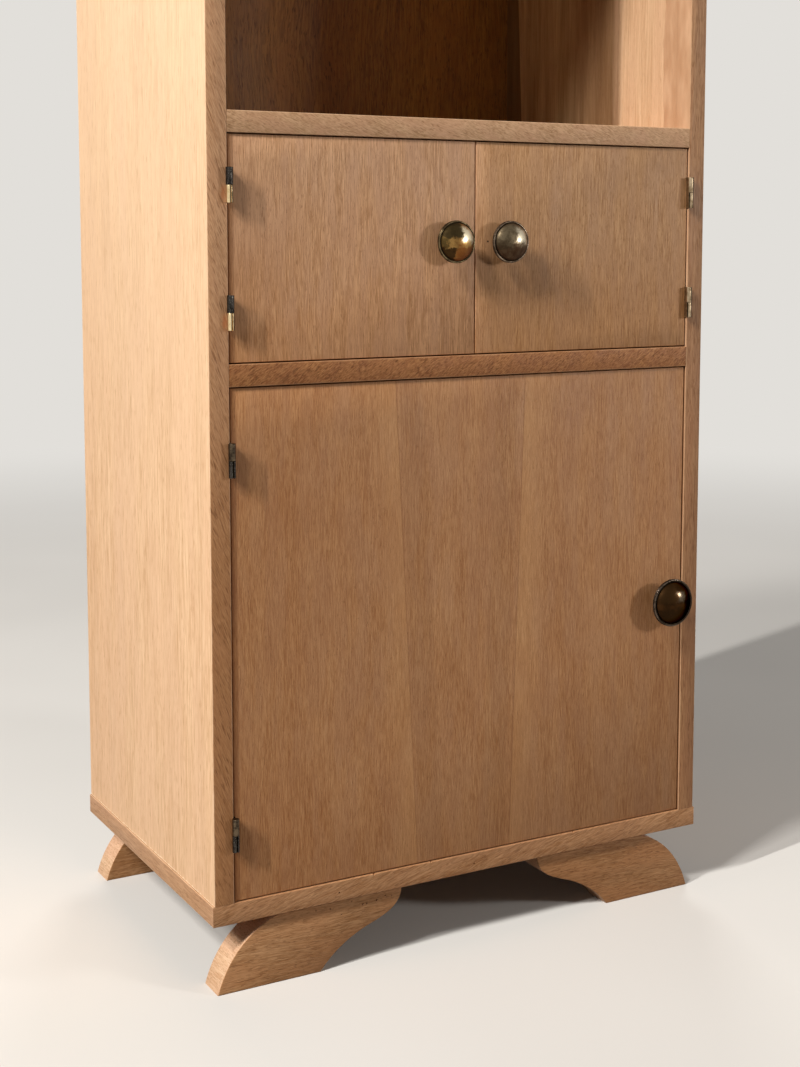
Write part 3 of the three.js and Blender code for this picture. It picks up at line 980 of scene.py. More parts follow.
lower_door_oak = oak(
    "lower door oak", (198, 148, 103), (164, 112, 70), (181, 136, 103), (130, 86, 50), UPRIGHT, 6.0,
    lines=(0.8, 13, 0.9), pores=(0.75, 4, 0.36, 0.6), rings=(3.4, 0.06), bands=0.26, blushes=0.28,
    wander=5, before=lower_door_leaves, after=lower_door,
)
rail_oak = oak(
    "rail oak", (178, 123, 75), (130, 78, 39), (166, 109, 67), (86, 49, 22), (0, 56, 0), 7.0,
    lines=(0.9, 4, 1.1), pores=(1.0, 4, 0.6, 0.57), bands=0.3, blushes=0.3,
    worn=between_sides(MIDDLE_BOARD), worn_colour=(210, 164, 124),
)
niche_lipping_oak = oak(
    "niche lipping oak", (210, 168, 129), (180, 138, 99), (202, 154, 119), (146, 104, 68), (0, 110, 0),
    8.0, lines=(1.1, 6, 1.1), pores=(0.9, 4, 0.6, 0.59), bands=0.4, worn=between_sides(NICHE_BOARD),
    worn_colour=(232, 194, 154),
)
FRONT_LIPPING_WORN = (
    (outer_x - OVERHANG, front_y - OVERHANG, BOTTOM_BOARD[0]),
    (-outer_x + OVERHANG, front_y + 2 * GLUED, BOTTOM_BOARD[1]),
)
END_LIPPING_WORN = (
    (outer_x - OVERHANG, -2 * GLUED, BOTTOM_BOARD[0]),
    (outer_x + GLUED, 2 * GLUED, BOTTOM_BOARD[1]),
)
board_lipping_oak = oak(
    "board lipping oak", (202, 153, 110), (168, 118, 76), (192, 142, 102), (104, 64, 34), (0, 73, 0), 9.0,
    lines=(1.3, 12, 1.0), pores=(1.0, 7, 0.6, 0.58), rings=(4.6, 0.3), bands=0.4, wander=10,
    worn=FRONT_LIPPING_WORN, worn_colour=(228, 190, 152),
)
end_lipping_oak = oak(
    "end lipping oak", (195, 151, 113), (170, 126, 89), (190, 142, 105), (138, 94, 58), INWARD, 10.0,
    lines=(1.3, 26, 0.9), pores=(1.0, 8, 0.6, 0.57), bands=0.4, worn=END_LIPPING_WORN,
    worn_colour=(240, 206, 168),
)


def foot(place, colour):
    """The feet on the right are browner."""
    x, _, _ = separate(place)
    return shade(calc("GREATER_THAN", x, 0.0), colour, (0.92, 0.89, 0.85))


foot_oak = oak(
    "foot oak", (198, 150, 106), (164, 116, 73), (190, 135, 90), (110, 68, 36), ACROSS, 11.0,
    lines=(1.4, 16, 0.9), pores=(1.1, 6, 0.6, 0.57), rings=(4, 0.3), bands=0.5, wander=16, after=foot,
)
foot_end_oak = oak(
    "foot end oak", (226, 188, 152), (202, 158, 120), (220, 174, 142), (160, 116, 82), INWARD, 11.5,
    lines=(1.4, 18, 0.9), pores=(1.0, 3, 0.6, 0.57), bands=0.4,
)
panel_oak = oak(
    "panel oak", (214, 170, 128), (190, 144, 102), (206, 156, 118), (150, 106, 70), ACROSS, 12.0,
    pores=(0.9, 9, 0.5, 0.6),
)


def back_panel(place, colour):
    """Inside the niche a painted pool of light makes the back paler and greyer beside the left side."""
    x, y, _ = separate(place)
    # Painted light: a pale patch on the back's front face beside the left side.
    ragged = noise(place, 9.0, 2.0, 0.5) * (50 * MM)
    pale = spread(x + ragged, -0.06, -0.015, 1.0, 0.0, smooth=True)
    seen = calc("LESS_THAN", y, (back_low.y + back_high.y) / 2)
    colour = mix(pale * seen * 0.35, colour, srgb(90, 62, 38))
    return shade(spread(x, 0.02, 0.12) * seen, colour, (1.25, 1.35, 1.15))


inside_oak = oak(
    "inside oak", (154, 106, 50), (118, 72, 26), (142, 92, 46), (58, 32, 12), UPRIGHT, 13.0,
    lines=(2.0, 30, 0.9), pores=(1.3, 8, 0.8, 0.6), rings=(14, 0.25), bands=0.5, wander=20,
    after=back_panel,
)
shelf_oak = oak(
    "shelf oak", (190, 144, 100), (162, 116, 74), (178, 128, 88), (110, 74, 44), ACROSS, 14.0,
    pores=(0.9, 9, 0.5, 0.6),
)
batten_oak = oak(
    "batten oak", (184, 138, 94), (158, 112, 72), (172, 122, 84), (108, 72, 42), INWARD, 15.0,
    pores=(0.9, 9, 0.5, 0.6),
)


# Finishes of the metal
def old_metal(name, bright, dull, dirt, seed, roughness, patch, patch_level=0.5, speck_level=0.66,
              edge=(1, 1, 1), after=None):
    """An old metal finish. edge tints it at a low angle, and after changes its colour and its roughness."""
    material, tree, place = start_material(name)
    vector = place + (seed, seed * 0.7, seed * 0.3)
    inputs = {
        "Vector": vector,
        "Bright": srgb(*bright),
        "Dull": srgb(*dull),
        "Dirt": srgb(*dirt),
        "Patch Size": patch * MM,
        "Patch Level": patch_level,
        "Speck Level": speck_level,
    }
    skin = use(patina, inputs)
    colour = skin["Colour"]
    dullness = spread(skin["Dullness"], 0.0, 1.0, *roughness)
    if after:
        colour, dullness = after(place, colour, dullness)
    finish_material(colour, dullness, skin["Relief"], METAL_RELIEF, metallic=1.0, edge=edge)
    return material


def painted_reflections_and_tarnish(door, fields):
    """Fields of tarnish and painted reflections on a knob: the pale ones paint highlights, and the dark and
    brown ones paint reflections of a dark room and the floor. Each has its left, right, low and high from the
    knob's middle and its softness, in millimetres, then its colour, its share and how much rougher it is."""
    middle = middle_of(f"{door}_knob_dome")

    def after(place, colour, dullness):
        own = place - middle
        for left, right, under, over, softness, tone, share, rougher in fields:
            ends = {"Low": (left * MM, -1, under * MM), "High": (right * MM, 1, over * MM)}
            mask = use(reflection_and_tarnish, {"Vector": own, **ends, "Softness": softness * MM})["Mask"] * share
            colour = mix(mask, colour, srgb(*tone))
            dullness = clamped(dullness + mask * rougher)
        return colour, dullness
    return after


def rim_grime_and_shade(knob, door):
    """Grime round the cap and in the groove between the rim's beads, and painted shade behind them."""
    middle = middle_of(f"{door}_knob_dome")
    groove_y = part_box(f"{door}_door")[0].y - knob["stand_off"] - knob["rim"] / 2
    rim_inside = knob["radius"] - 1.2 * MM

    def after(place, colour, dullness):
        x, y, z = separate(place - (middle.x, groove_y, middle.z))
        reach = calc("SQRT", x * x + z * z)
        ragged = noise(place, 420.0, 2.0, 0.6) * (0.5 * MM)
        inner = spread(reach + ragged, rim_inside, rim_inside + 0.4 * MM, 1.0, 0.0)
        off = abs(y) + ragged
        groove = spread(off, 0.35 * MM, 0.75 * MM, 1.0, 0.0)
        # Painted shade on the cup and stem behind the rim's beads.
        painted_shade_behind = spread(y + ragged, 1.2 * MM, 1.6 * MM)
        grime_and_shade = most(inner, groove, painted_shade_behind) * 0.88
        return mix(grime_and_shade, colour, srgb(30, 23, 15)), dullness + grime_and_shade * 0.3
    return after


gold_knob_brass = old_metal(
    "gold knob brass", (158, 122, 70), (114, 82, 44), (60, 42, 20), 0.11, (0.24, 0.42), 7, speck_level=0.63,
    # The cream field paints the highlight; the dark fields above and at the left paint the reflection of a
    # dark room, and the brown ones below that of the floor, with some tarnish.
    after=painted_reflections_and_tarnish("upper_left", (
        (1.5, 30, 0, 13, 3, (222, 210, 182), 0.85, 0.04),
        (-30, 2, 3, 30, 1.8, (46, 40, 25), 0.93, 0.25),
        (-30, -4.5, -30, -5, 0.9, (44, 29, 16), 0.92, 0.25),
        (-4.5, 30, -30, -4.5, 1.6, (106, 56, 22), 0.8, 0.12),
        (-30, -12, -5, 3, 1.4, (54, 50, 28), 0.75, 0.2),
    )),
)
bronze_knob_brass = old_metal(
    "bronze knob brass", (134, 118, 94), (76, 63, 48), (36, 27, 18), 0.47, (0.24, 0.42), 5, speck_level=0.6,
    # The pale field paints the highlight; the grey field above paints the reflection of the room, and the
    # brown ones below that of the floor, with some tarnish.
    after=painted_reflections_and_tarnish("upper_right", (
        (2, 14, -1, 12, 3, (208, 197, 174), 0.75, 0.03),
        (-30, 2, 0, 30, 3, (84, 74, 57), 0.6, 0.2),
        (-30, 30, -30, -3, 2.4, (56, 36, 22), 0.85, 0.15),
        (-30, -3, -6.5, 0.5, 1.6, (60, 48, 34), 0.75, 0.2),
    )),
)
dark_knob_brass = old_metal(
    "dark knob brass", (60, 38, 19), (44, 28, 14), (16, 10, 5), 0.83, (0.1, 0.24), 16, 0.47,
    # The pale field paints the highlight's colour; the dark fields paint the reflections of a dark room and
    # the floor, with some tarnish.
    edge=(0.3, 0.24, 0.2), after=painted_reflections_and_tarnish("lower", (
        (-30, -3, 2, 30, 3, (50, 34, 18), 0.9, 0.4),
        (-1, 7, 3, 12, 2.6, (140, 128, 110), 0.3, 0.0),
        (-30, 8, -30, -4, 2.4, (38, 26, 14), 0.8, 0.08),
        (7, 30, -30, 6, 2.4, (15, 9, 5), 0.85, 0.05),
    )),
)
dark_rim_brass = old_metal(
    "dark rim brass", (112, 96, 70), (56, 45, 30), (26, 19, 11), 0.19, (0.26, 0.4), 7, 0.47,
    after=rim_grime_and_shade(SMALL_KNOB, "upper_left"),
)
bronze_rim_brass = old_metal(
    "bronze rim brass", (120, 104, 88), (66, 54, 43), (28, 22, 15), 0.53, (0.26, 0.4), 7, 0.47,
    after=rim_grime_and_shade(SMALL_KNOB, "upper_right"),
)
black_rim_brass = old_metal(
    "black rim brass", (96, 84, 74), (46, 38, 31), (14, 11, 9), 0.91, (0.16, 0.35), 9,
    edge=(0.5, 0.45, 0.4), after=rim_grime_and_shade(LARGE_KNOB, "lower"),
)


def painted_knuckle_shade(start, share=0.92):
    """Painted shade and dark reflection on the right flank of the knuckles, from a place given in
    millimetres.
    """
    def after(place, colour, dullness):
        x, _, _ = separate(place)
        ragged = noise(place, 500.0, 2.0, 0.6) * MM
        # Painted shade: the knuckle darkens towards its right flank.
        grime_and_shade = spread(x + ragged, start * MM, (start + 0.6) * MM)
        grime_and_shade = grime_and_shade * share
        return mix(grime_and_shade, colour, srgb(52, 38, 24)), dullness + grime_and_shade * 0.25
    return after


def bare_specks(place, colour, dullness):
    """Bare metal shows through the black in small specks."""
    specks = spread(noise(place, 1500.0, 2.0, 0.6), 0.62, 0.67)
    return mix(specks * 0.6, colour, srgb(172, 166, 154)), dullness


bright_hinge_brass = old_metal(
    "bright hinge brass", (242, 218, 174), (206, 180, 132), (60, 46, 30), 0.29, (0.28, 0.48), 6,
    after=painted_knuckle_shade(-249.2),
)
grey_hinge_brass = old_metal(
    "grey hinge brass", (182, 162, 134), (134, 114, 88), (62, 46, 34), 0.67, (0.34, 0.5), 5,
    after=painted_knuckle_shade(250.6, 0.8),
)
black_hinge_brass = old_metal(
    "black hinge brass", (66, 62, 58), (36, 33, 31), (14, 12, 11), 0.61, (0.34, 0.55), 5, after=bare_specks,
)
brown_hinge_brass = old_metal(
    "brown hinge brass", (104, 90, 72), (48, 40, 33), (16, 13, 10), 0.37, (0.32, 0.5), 5,
)
pin_brass = old_metal("pin brass", (96, 78, 50), (52, 42, 28), (20, 15, 10), 0.43, (0.3, 0.5), 5)
catch_brass = old_metal("catch brass", (196, 162, 106), (140, 112, 70), (50, 38, 22), 0.59, (0.25, 0.5), 6)
catch_steel = old_metal("catch steel", (150, 148, 144), (110, 106, 100), (60, 50, 40), 0.71, (0.25, 0.5), 5)

FACES = {
    "left": Vector((-1, 0, 0)),
    "right": Vector((1, 0, 0)),
    "front": Vector((0, -1, 0)),
    "back": Vector((0, 1, 0)),
    "under": Vector((0, 0, -1)),
    "top": Vector((0, 0, 1)),
}


def directions(words):
    return [FACES[word] for word in words.split()]


def hinge_places(doors):
    """Each hinge's hand, and its pin's middle."""
    return [(DOOR_HANDS[door], middle_of(f"{door}_hinge_{end}_pin")) for door in doors for end in HINGE_ENDS]


def leaf_rooms(places, away):
    """Cutters for hinge leaves and their screws. away is 1 into the side and -1 into the door."""
    tools = []
    half = HINGE_LENGTH / 2 + MORTISE_FIT
    stand = LEAF_GAP / 2 + LEAF_STAND_OUT
    floor = LEAF_THICKNESS - LEAF_STAND_OUT + MORTISE_FIT
    for hand, pin in places:
        toward = -hand * away
        face = pin.x + toward * stand
        leaf_front = pin.y + AXIS_FORWARD
        near = (face - toward * OVERRUN, leaf_front - OVERRUN, pin.z - half)
        far = (face + toward * floor, leaf_front + LEAF_DEPTH + MORTISE_FIT, pin.z + half)
        tools.append(block("room", near, far))
        for rise in SCREW_RISES:
            start = Vector((face, leaf_front + LEAF_DEPTH / 2, pin.z + rise))
            end = start + Vector((toward * (HINGE_SCREW_LENGTH + MM), 0, 0))
            tools.append(rod("pilot", start, end, HINGE_SCREW_RADIUS + SCREW_FIT, 16))
    return tools


# Worm holes and bites, each its place to the right, its height and its radius, in millimetres
FOOT_WORM_HOLES = (
    (-168.3, 59.8, 0.7), (-153.5, 58.4, 0.8), (-118.9, 56.2, 0.9), (-115.1, 56.3, 0.7), (-104.6, 57.3, 0.9),
    (-94.9, 59.8, 0.8), (-88.3, 58.7, 0.7), (-131.0, 61.5, 0.6), (-141.5, 50.5, 0.6),
)
LIPPING_WORM_HOLES = (
    (-145.8, 74, 0.9), (-108.9, 84.6, 1.2), (-47, 85, 1.0), (0.9, 74.4, 0.9), (118, 84.8, 0.9),
)
WORM_HOLE_DEPTH = 3 * MM


def bore(piece, holes, face_y):
    carve(piece, [
        rod("worm", (x * MM, face_y - OVERRUN, z * MM), (x * MM + 0.3 * MM, face_y + WORM_HOLE_DEPTH, z * MM),
            radius * MM, 10)
        for x, z, radius in holes
    ])


# Boards: each packed board's bare faces, whose edges are eased, and its finish
for node, bare, material in (
    ("middle_lipping", "front top under", rail_oak),
    ("niche_floor_lipping", "front top under", niche_lipping_oak),
    ("upper_door_stop", "front back under", batten_oak),
    ("lower_door_stop", "front back under", batten_oak),
    ("shelf", "front top under", shelf_oak),
    ("shelf_batten_left", "front right under", batten_oak),
    ("shelf_batten_right", "front left under", batten_oak),
):
    piece = block("oak_" + node, *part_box(node))
    ease(piece, directions(bare), ARRIS)
    finish(piece, material, node)


def make_stile(side, hand, hinges, material):
    node = f"side_lipping_{side}"
    piece = block("oak_" + node, *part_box(node))
    ease(piece, directions("front left right"), ARRIS)
    carve(piece, leaf_rooms(hinges, 1))
    finish(piece, material, node)
    outer = side_oak if hand > 0 else right_side_oak
    face_finish(piece, outer, lambda face: face.normal.x * hand < -0.75)
    if hand < 0:
        face_finish(piece, outer, lambda face: face.normal.x < -0.75)


make_stile("left", 1, hinge_places(["upper_left", "lower"]), left_stile_oak)
make_stile("right", -1, hinge_places(["upper_right"]), right_stile_oak)


def make_side(side, hand, material):
    """A side panel with its rebate for the back."""
    node = f"side_panel_{side}"
    low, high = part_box(node)
    piece = block("oak_" + node, low, high)
    outer = low.x if hand > 0 else high.x
    inner = high.x if hand > 0 else low.x
    rebate = block(
        "rebate",
        (inner - hand * BACK_REBATE, back_low.y - GLUE_LINE, low.z - OVERRUN),
        (inner + hand * OVERRUN, high.y + OVERRUN, high.z + OVERRUN),
    )
    ease(piece, directions("back left" if hand > 0 else "back right"), ARRIS)
    carve(piece, [rebate])
    finish(piece, material, node)


make_side("left", 1, side_oak)
make_side("right", -1, right_side_oak)


def make_mitred_lippings(board):
    """The three lippings of the bottom or top board, mitred at the front corners."""
    node = f"{board}_lipping_front"
    low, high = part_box(node)
    front = block("oak_" + node, low, high)
    saw(front, (low.x, low.y, 0), (-1, 1, 0))
    saw(front, (high.x, low.y, 0), (1, 1, 0))
    ease(front, directions("front top under"), ARRIS)
    if board == "bottom":
        bore(front, LIPPING_WORM_HOLES, low.y)
    finish(front, board_lipping_oak, node)
    for side, hand in (("left", 1), ("right", -1)):
        node = f"{board}_lipping_{side}"
        low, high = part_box(node)
        end = block("oak_" + node, low, high)
        saw(end, (low.x if hand > 0 else high.x, low.y, 0), (hand, -1, 0))
        ease(end, directions(f"{side} top under back"), ARRIS)
        finish(end, end_lipping_oak, node)


for board in ("bottom", "top"):
    make_mitred_lippings(board)
for node in ("bottom_panel", "top_panel", "middle_panel", "niche_floor_panel"):
    dress(node, panel_oak)
dress("back_panel", inside_oak)


# Doors, with their closing edges planed back to clear, and room for leaves and screws. A pilot hole is its
# radius and its depth
KNOB_PILOT = (2.2 * MM, 12.2 * MM)
STUD_PILOT = (1.5 * MM, 8.2 * MM)

for door, hand in DOOR_HANDS.items():
    node = f"{door}_door"
    low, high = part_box(node)
    piece = block("oak_" + node, low, high)
    free_x = high.x if hand > 0 else low.x
    saw(piece, (free_x, low.y, 0), (hand * (high.y - low.y), CLOSING_BEVEL, 0))
    ease_all(piece, DOOR_ARRIS)
    pilots = []
    screws = (("knob_dome", low.y, 1, KNOB_PILOT), ("catch_stud", high.y, -1, STUD_PILOT))
    for part, face_y, inward, (radius, depth) in screws:
        x, _, z = middle_of(f"{door}_{part}")
        start = (x, face_y - inward * OVERRUN, z)
        pilots.append(rod("pilot", start, (x, face_y + inward * depth, z), radius, 16))
    carve(piece, leaf_rooms(hinge_places([door]), -1) + pilots)
    finish(piece, lower_door_oak if door == "lower" else upper_door_oak, node)


# Feet: the outline is drawn as a curve, filled, given its thickness and eased
def foot_outline(height):
    """Corner points of a foot with their handles, from the toe along the sole, in lengths from the toe."""
    cove_end = SOLE_LENGTH + COVE_REACH
    arm_end = cove_end + ARM_REACH
    arm_height = height - COVE_HEIGHT
    toe_in = (0.12 * TOE_REACH, 0.42 * height)
    toe_out = (0.42 * TOE_REACH, 0.86 * height)
    cove_in = (SOLE_LENGTH + 0.25 * COVE_REACH, 0.47 * COVE_HEIGHT)
    cove_out = (SOLE_LENGTH + 0.64 * COVE_REACH, 0.82 * COVE_HEIGHT)
    arm_in = (cove_end + 0.54 * ARM_REACH, COVE_HEIGHT + 0.21 * arm_height)
    arm_out = (arm_end, COVE_HEIGHT + 0.42 * arm_height)
    toe = (0, 0)
    heel = (SOLE_LENGTH, 0)
    cove = (cove_end, COVE_HEIGHT)
    arm = (arm_end, height)
    shoulder = (TOE_REACH, height)
    return [
        (toe_in, toe, toe),
        (heel, heel, cove_in),
        (cove_out, cove, arm_in),
        (arm_out, arm, arm),
        (shoulder, shoulder, toe_out),
    ]


def make_foot(end, side, hand):
    node = f"foot_{end}_{side}"
    low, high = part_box(node)
    toe_x = low.x if hand > 0 else high.x

    def at(point):
        return Vector((toe_x + hand * point[0], low.y, low.z + point[1]))

    deselect()
    bpy.ops.curve.primitive_bezier_curve_add()
    outline = bpy.context.object.data
    outline.dimensions = "3D"
    outline.resolution_u = 32
    spline = outline.splines[0]
    corners = foot_outline(high.z - low.z)
    spline.bezier_points.add(len(corners) - len(spline.bezier_points))
    spline.use_cyclic_u = True
    for point, (before, corner, after) in zip(spline.bezier_points, corners):
        point.handle_left_type = point.handle_right_type = "FREE"
        point.co = at(corner)
        point.handle_left = at(before)
        point.handle_right = at(after)
    bpy.context.object.location = (0, 0, 0)
    bpy.ops.object.convert(target="MESH")
    piece = named("oak_" + node)
    edit(piece)
    take_all()
    bpy.ops.mesh.remove_doubles(threshold=0.01 * MM)
    bpy.ops.mesh.dissolve_limited(angle_limit=math.radians(0.3))
    take_all()
    bpy.ops.mesh.edge_face_add()
    bpy.ops.mesh.extrude_region_move(TRANSFORM_OT_translate={"value": (0, high.y - low.y, 0)})
    done()
    mend_normals(piece)
    ease_where(piece, lambda edge: any(abs(face.normal.y) > 0.9 for face in edge.link_faces), FOOT_ARRIS)
    if node == "foot_front_left":
        bore(piece, FOOT_WORM_HOLES, low.y)
    finish(piece, foot_oak, node, angle=28)
    face_finish(piece, foot_end_oak, lambda face: abs(face.normal.y) < 0.5)


for end in ("front", "rear"):
    for side, hand in (("left", 1), ("right", -1)):
        make_foot(end, side, hand)


# Knobs: a turned body with a beaded rim and its wood screw, and a pressed dome. Heights run out from the door
def knob_body_profile(knob):
    radius = knob["radius"]
    stand = knob["stand_off"]
    front = stand + knob["rim"]
    bead = knob["rim"] / 4
    well = knob["dome"] + GLUE_LINE
    thread = 2 * MM
    return [
        (0, -12 * MM),
        (thread * 0.3, -12 * MM),
        (thread, -9 * MM),
        (thread, 0),
        (knob["flange"] - 0.4 * MM, 0),
        (knob["flange"], 0.4 * MM),
        (knob["flange"], 1.1 * MM),
        (knob["flange"] - 0.5 * MM, 1.6 * MM),
        (knob["stem"] + 0.6 * MM, 2.2 * MM),
        (knob["stem"], 3.2 * MM),
        (knob["stem"], stand * 0.5),
        (knob["stem"] + 1.2 * MM, stand * 0.62),
        (knob["cup"] * 0.75, stand * 0.76),
        (knob["cup"], stand * 0.88),
        (knob["cup"] + 3 * MM, stand * 0.96),
        (radius - 2 * bead, stand),
        *arc((radius - bead, stand + bead), bead, -90, 55, 8),
        (radius - 0.75 * bead, stand + 2 * bead),
        *arc((radius - bead, front - bead), bead, -50, 90, 9),
        (well + 0.35 * MM, front),
        (well + 0.08 * MM, front - 0.12 * MM),
        (well, front - 0.4 * MM),
        (well, front - knob["seat"]),
        (0, front - knob["seat"]),
    ]


CROWN_STEPS = 24


def knob_dome_profile(knob):
    """The cap is a blend of a round cap and a fuller half egg."""
    base = knob["stand_off"] + knob["rim"] - knob["seat"] + GLUE_LINE
    shoulder = base + 0.8 * MM
    radius = knob["dome"]
    rise = knob["projection"] - shoulder
    sphere = (radius ** 2 + rise ** 2) / (2 * rise)
    crown = []
    for i in range(CROWN_STEPS + 1):
        angle = math.pi / 2 * i / CROWN_STEPS
        across = radius * math.cos(angle)
        cap = rise - sphere + math.sqrt(sphere ** 2 - across ** 2)
        egg = rise * math.sin(angle)
        crown.append((across, shoulder + 0.5 * cap + 0.5 * egg))
    crown[-1] = (0, knob["projection"])
    return [(0, base), (radius - 0.2 * MM, base), (radius, base + 0.2 * MM), *crown]


for door, knob, body_brass, dome_brass in (
    ("upper_left", SMALL_KNOB, dark_rim_brass, gold_knob_brass),
    ("upper_right", SMALL_KNOB, bronze_rim_brass, bronze_knob_brass),
    ("lower", LARGE_KNOB, black_rim_brass, dark_knob_brass),
):
    seat = seat_on(f"{door}_knob_dome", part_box(f"{door}_door")[0].y)
    body = (f"{door}_knob_body", knob_body_profile, body_brass)
    dome = (f"{door}_knob_dome", knob_dome_profile, dome_brass)
    for node, profile, material in (body, dome):
        piece = spun("brass_" + node, profile(knob))
        move_to(piece, seat, FORWARD)
        finish(piece, material, node, angle=50)


# Hinges, about the pin: the side lies at -X and the cabinet's front plane at +Y on a left hand
def leaf_master(seam):
    """A leaf with its rolled knuckle below. The seam is in degrees from the front to the left."""
    half = HINGE_LENGTH / 2
    near = LEAF_GAP / 2
    far = near + LEAF_THICKNESS
    leaf = block("leaf", (-far, AXIS_FORWARD, -half), (-near, AXIS_FORWARD + LEAF_DEPTH, half))
    ease_all(leaf, 0.15 * MM, 2)
    knuckle_top = KNUCKLE_HEIGHT - half
    middle = (KNUCKLE_BORE + KNUCKLE_RADIUS) / 2
    tab = block("tab", (-far, middle, -half), (-near, AXIS_FORWARD + MM, knuckle_top))
    wall = KNUCKLE_RADIUS - KNUCKLE_BORE
    deselect()
    bpy.ops.mesh.primitive_plane_add(size=1)
    roll = named("roll")
    start = math.radians(-90 - seam) - SEAM_OPENING / 2
    roll.scale = (wall, KNUCKLE_HEIGHT, 1)
    roll.rotation_euler = (math.radians(90), 0, start)
    roll.location = (middle * math.cos(start), middle * math.sin(start), (knuckle_top - half) / 2)
    set_in_place()
    mesh = edit(roll, "VERT")
    choose(roll, mesh, mesh.verts, lambda vert: vert.co.xy.length > middle)
    bpy.ops.mesh.bevel(offset=0.4 * MM, segments=3, affect="VERTICES")
    take_all()
    bpy.ops.mesh.spin(steps=44, angle=2 * math.pi - SEAM_OPENING, center=(0, 0, 0), axis=(0, 0, 1))
    done()
    mend_normals(roll)
    screw_y = AXIS_FORWARD + LEAF_DEPTH / 2
    screws = []
    slots = []
    for rise in SCREW_RISES:
        shaft_end = (-far - HINGE_SCREW_LENGTH, screw_y, rise)
        screws.append(rod("shaft", (-far + 0.1 * MM, screw_y, rise), shaft_end, HINGE_SCREW_RADIUS, 16))
        top = -near + SCREW_HEAD_RISE
        head = rod("head", (-far + 0.2 * MM, screw_y, rise), (top, screw_y, rise), SCREW_HEAD_RADIUS)
        ease_all(head, 0.08 * MM, 2)
        screws.append(head)
        corner = (top - SCREW_SLOT_DEPTH, screw_y - 2 * SCREW_HEAD_RADIUS, rise - SCREW_SLOT_WIDTH / 2)
        other = (-near + MM, screw_y + 2 * SCREW_HEAD_RADIUS, rise + SCREW_SLOT_WIDTH / 2)
        slots.append(block("slot", corner, other))
    weld(leaf, [tab, roll, *screws])
    carve(leaf, slots)
    return leaf


def pin_profile():
    half = HINGE_LENGTH / 2
    crown = PIN_RADIUS / 2
    return [
        (0, -half),
        *arc((crown, crown - half), crown, -90, 0, 4),
        *arc((crown, half - crown), crown, 0, 90, 4),
        (0, half),
    ]


# Where the rolls close, in degrees, and the finishes of the door leaves above and the frame leaves below
DOOR_LEAF_SEAM = 150
HINGE_LOOKS = {
    "upper_left": (0, black_hinge_brass, bright_hinge_brass),
    "upper_right": (58, grey_hinge_brass, grey_hinge_brass),
    "lower": (0, brown_hinge_brass, black_hinge_brass),
}

masters = {}
for door, hand in DOOR_HANDS.items():
    seam, door_leaf_brass, frame_leaf_brass = HINGE_LOOKS[door]
    for end in HINGE_ENDS:
        node = f"{door}_hinge_{end}"
        middle = middle_of(f"{node}_pin")
        frame_leaf = ("frame_leaf", 0, seam * hand, frame_leaf_brass)
        door_leaf = ("door_leaf", 180, -DOOR_LEAF_SEAM * hand, door_leaf_brass)
        for part, turn, own_seam, material in (frame_leaf, door_leaf):
            if own_seam not in masters:
                masters[own_seam] = leaf_master(own_seam)
            leaf = copy_of(masters[own_seam], f"brass_{node}_{part}")
            move_to(leaf, (0, 0, 0), (0, math.radians(turn), 0))
            move_to(leaf, middle, scale=(hand, 1, 1))
            finish(leaf, material, f"{node}_{part}")
        pin = spun(f"brass_{node}_pin", pin_profile(), 32)
        move_to(pin, middle)
        finish(pin, pin_brass, f"{node}_pin")
for master in masters.values():
    bpy.data.objects.remove(master)


# Catches: a bulb-headed stud on the door, and a folded spring clip under the stop
STUD = {"head": 2.6 * MM, "head_length": 6 * MM, "neck": 1.6 * MM, "neck_length": 7 * MM, "flange": 4 * MM}
HEAD_STEPS = 16
CLIP_SHEET = 0.8 * MM


def stud_profile():
    head = []
    for i in range(2, HEAD_STEPS + 1):
        angle = math.pi * i / HEAD_STEPS
        height = STUD["neck_length"] + STUD["head_length"] * (1 - math.cos(angle)) / 2
        head.append((STUD["head"] * math.sin(angle), height))
    head[-1] = (0, STUD["neck_length"] + STUD["head_length"])
    head = [point for point in head if point[0] > STUD["neck"] * 0.95 or point[0] == 0 or point[1] > 10 * MM]
    return [
        (0, -8 * MM),
        (0.4 * MM, -8 * MM),
        (1.3 * MM, -5.5 * MM),
        (1.3 * MM, GLUE_LINE),
        (STUD["flange"], GLUE_LINE),
        (STUD["flange"], 0.5 * MM),
        (STUD["flange"] - 0.5 * MM, MM),
        (STUD["neck"] + 0.3 * MM, 1.1 * MM),
        (STUD["neck"], 1.6 * MM),
        (STUD["neck"], STUD["neck_length"] + 0.4 * MM),
        *head,
    ]


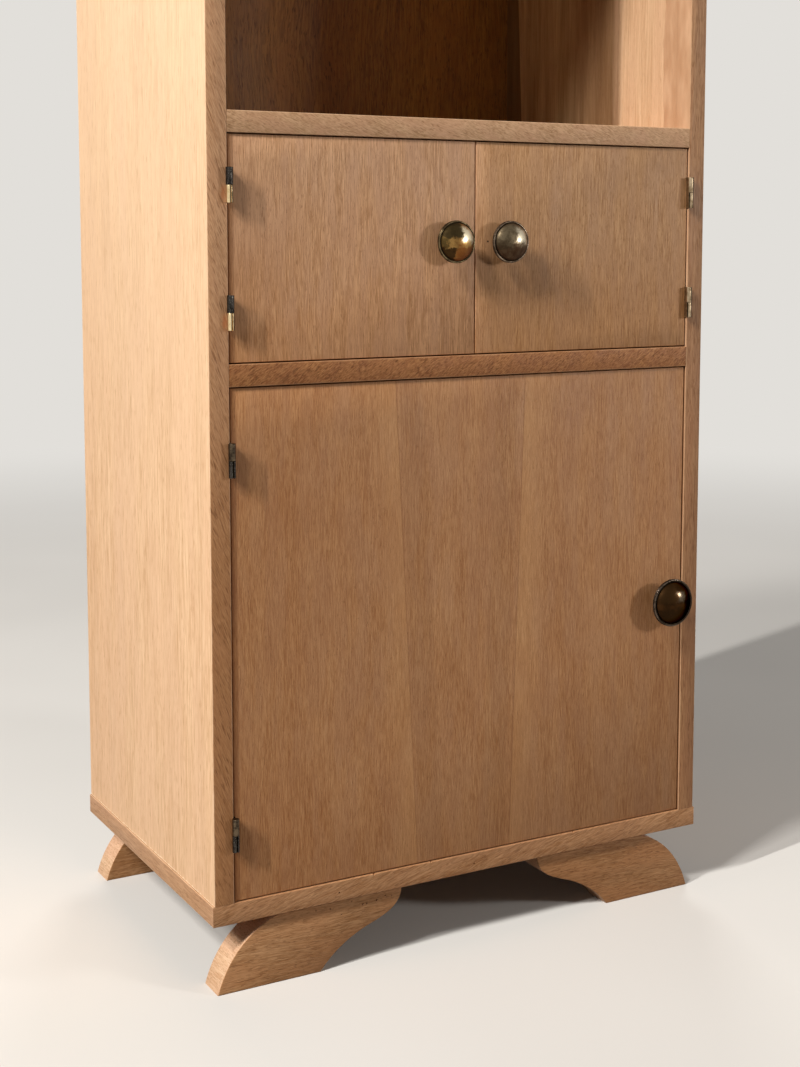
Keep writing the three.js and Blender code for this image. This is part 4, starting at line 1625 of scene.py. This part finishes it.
def make_clip(node):
    """A strip of spring steel, folded round from one flared lip to the other."""
    low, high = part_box(node)
    middle_z = (low.z + high.z) / 2
    half = (high.z - low.z) / 2 - CLIP_SHEET / 2
    throat = STUD["head"] + 0.25 * MM + CLIP_SHEET / 2
    inset = CLIP_SHEET / 2
    reach = [
        (inset, throat + 1.3 * MM),
        (3 * MM, throat),
        (6 * MM, half),
        (high.y - low.y - inset, half),
    ]
    path = [(0, y, z) for y, z in reach] + [(0, y, -z) for y, z in reversed(reach)]
    piece = drawn("steel_" + node, path, (low.x, low.y, middle_z))
    take_all()
    bpy.ops.mesh.select_mode(type="EDGE")
    bpy.ops.mesh.extrude_region_move(TRANSFORM_OT_translate={"value": (high.x - low.x, 0, 0)})
    done()
    ease_where(piece, lambda edge: len(edge.link_faces) == 2, 0.9 * MM, 4)
    sheet = piece.modifiers.new("sheet", "SOLIDIFY")
    sheet.thickness = CLIP_SHEET
    sheet.offset = 0
    pick(piece)
    bpy.ops.object.modifier_apply(modifier=sheet.name)
    mend_normals(piece)
    finish(piece, catch_steel, node)


for door in DOOR_HANDS:
    seat = seat_on(f"{door}_catch_stud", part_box(f"{door}_door")[1].y)
    stud = spun(f"brass_{door}_catch_stud", stud_profile(), 40)
    move_to(stud, seat, INTO_CUPBOARD)
    finish(stud, catch_brass, f"{door}_catch_stud", angle=40)
    make_clip(f"{door}_catch_clip")


# Studio floor and backdrop. Only the camera and reflections see them as pale as they are
BACKDROP = srgb(226, 223, 218)
FADE_START = 1.3
FADE_END = 3.8


def seen_directly(tree):
    """1 for what the camera, a reflection or a look through glass sees, 0 for the light on the object."""
    path = add(tree, "LightPath")
    return most(path["Is Camera Ray"], path["Is Glossy Ray"], path["Is Transmission Ray"])


def add_floor():
    deselect()
    bpy.ops.mesh.primitive_plane_add(size=80)
    floor = named("studio_floor")
    material, tree, place = start_material("studio floor")
    seen = seen_directly(tree)
    cloud = spread(noise(place, 1.5, 2.0, 0.5), 0.3, 0.7)
    pale = mix(cloud, srgb(222, 219, 214), srgb(228, 225, 220))
    lit = add(tree, "BsdfDiffuse", {"Color": mix(seen, srgb(96, 86, 78), pale)})[0]
    far = add(tree, "Emission", {"Color": BACKDROP, "Strength": 1.0})[0]
    reach = length(place)
    fade = spread(reach, FADE_START, FADE_END, smooth=True) * seen
    shader = add(tree, "MixShader", {0: fade, 1: lit, 2: far})[0]
    add(tree, "OutputMaterial", {"Surface": shader})
    floor.data.materials.append(material)


def add_backdrop():
    world = bpy.data.worlds.new("studio")
    world.use_nodes = True
    bpy.context.scene.world = world
    tree = world.node_tree
    tree.nodes.clear()
    colour = mix(seen_directly(tree), (0.1, 0.096, 0.092, 1), BACKDROP)
    light = add(tree, "Background", {"Color": colour, "Strength": 1.0})[0]
    add(tree, "OutputWorld", {"Surface": light})


add_floor()
add_backdrop()
bpy.context.scene.view_settings.view_transform = "Standard"
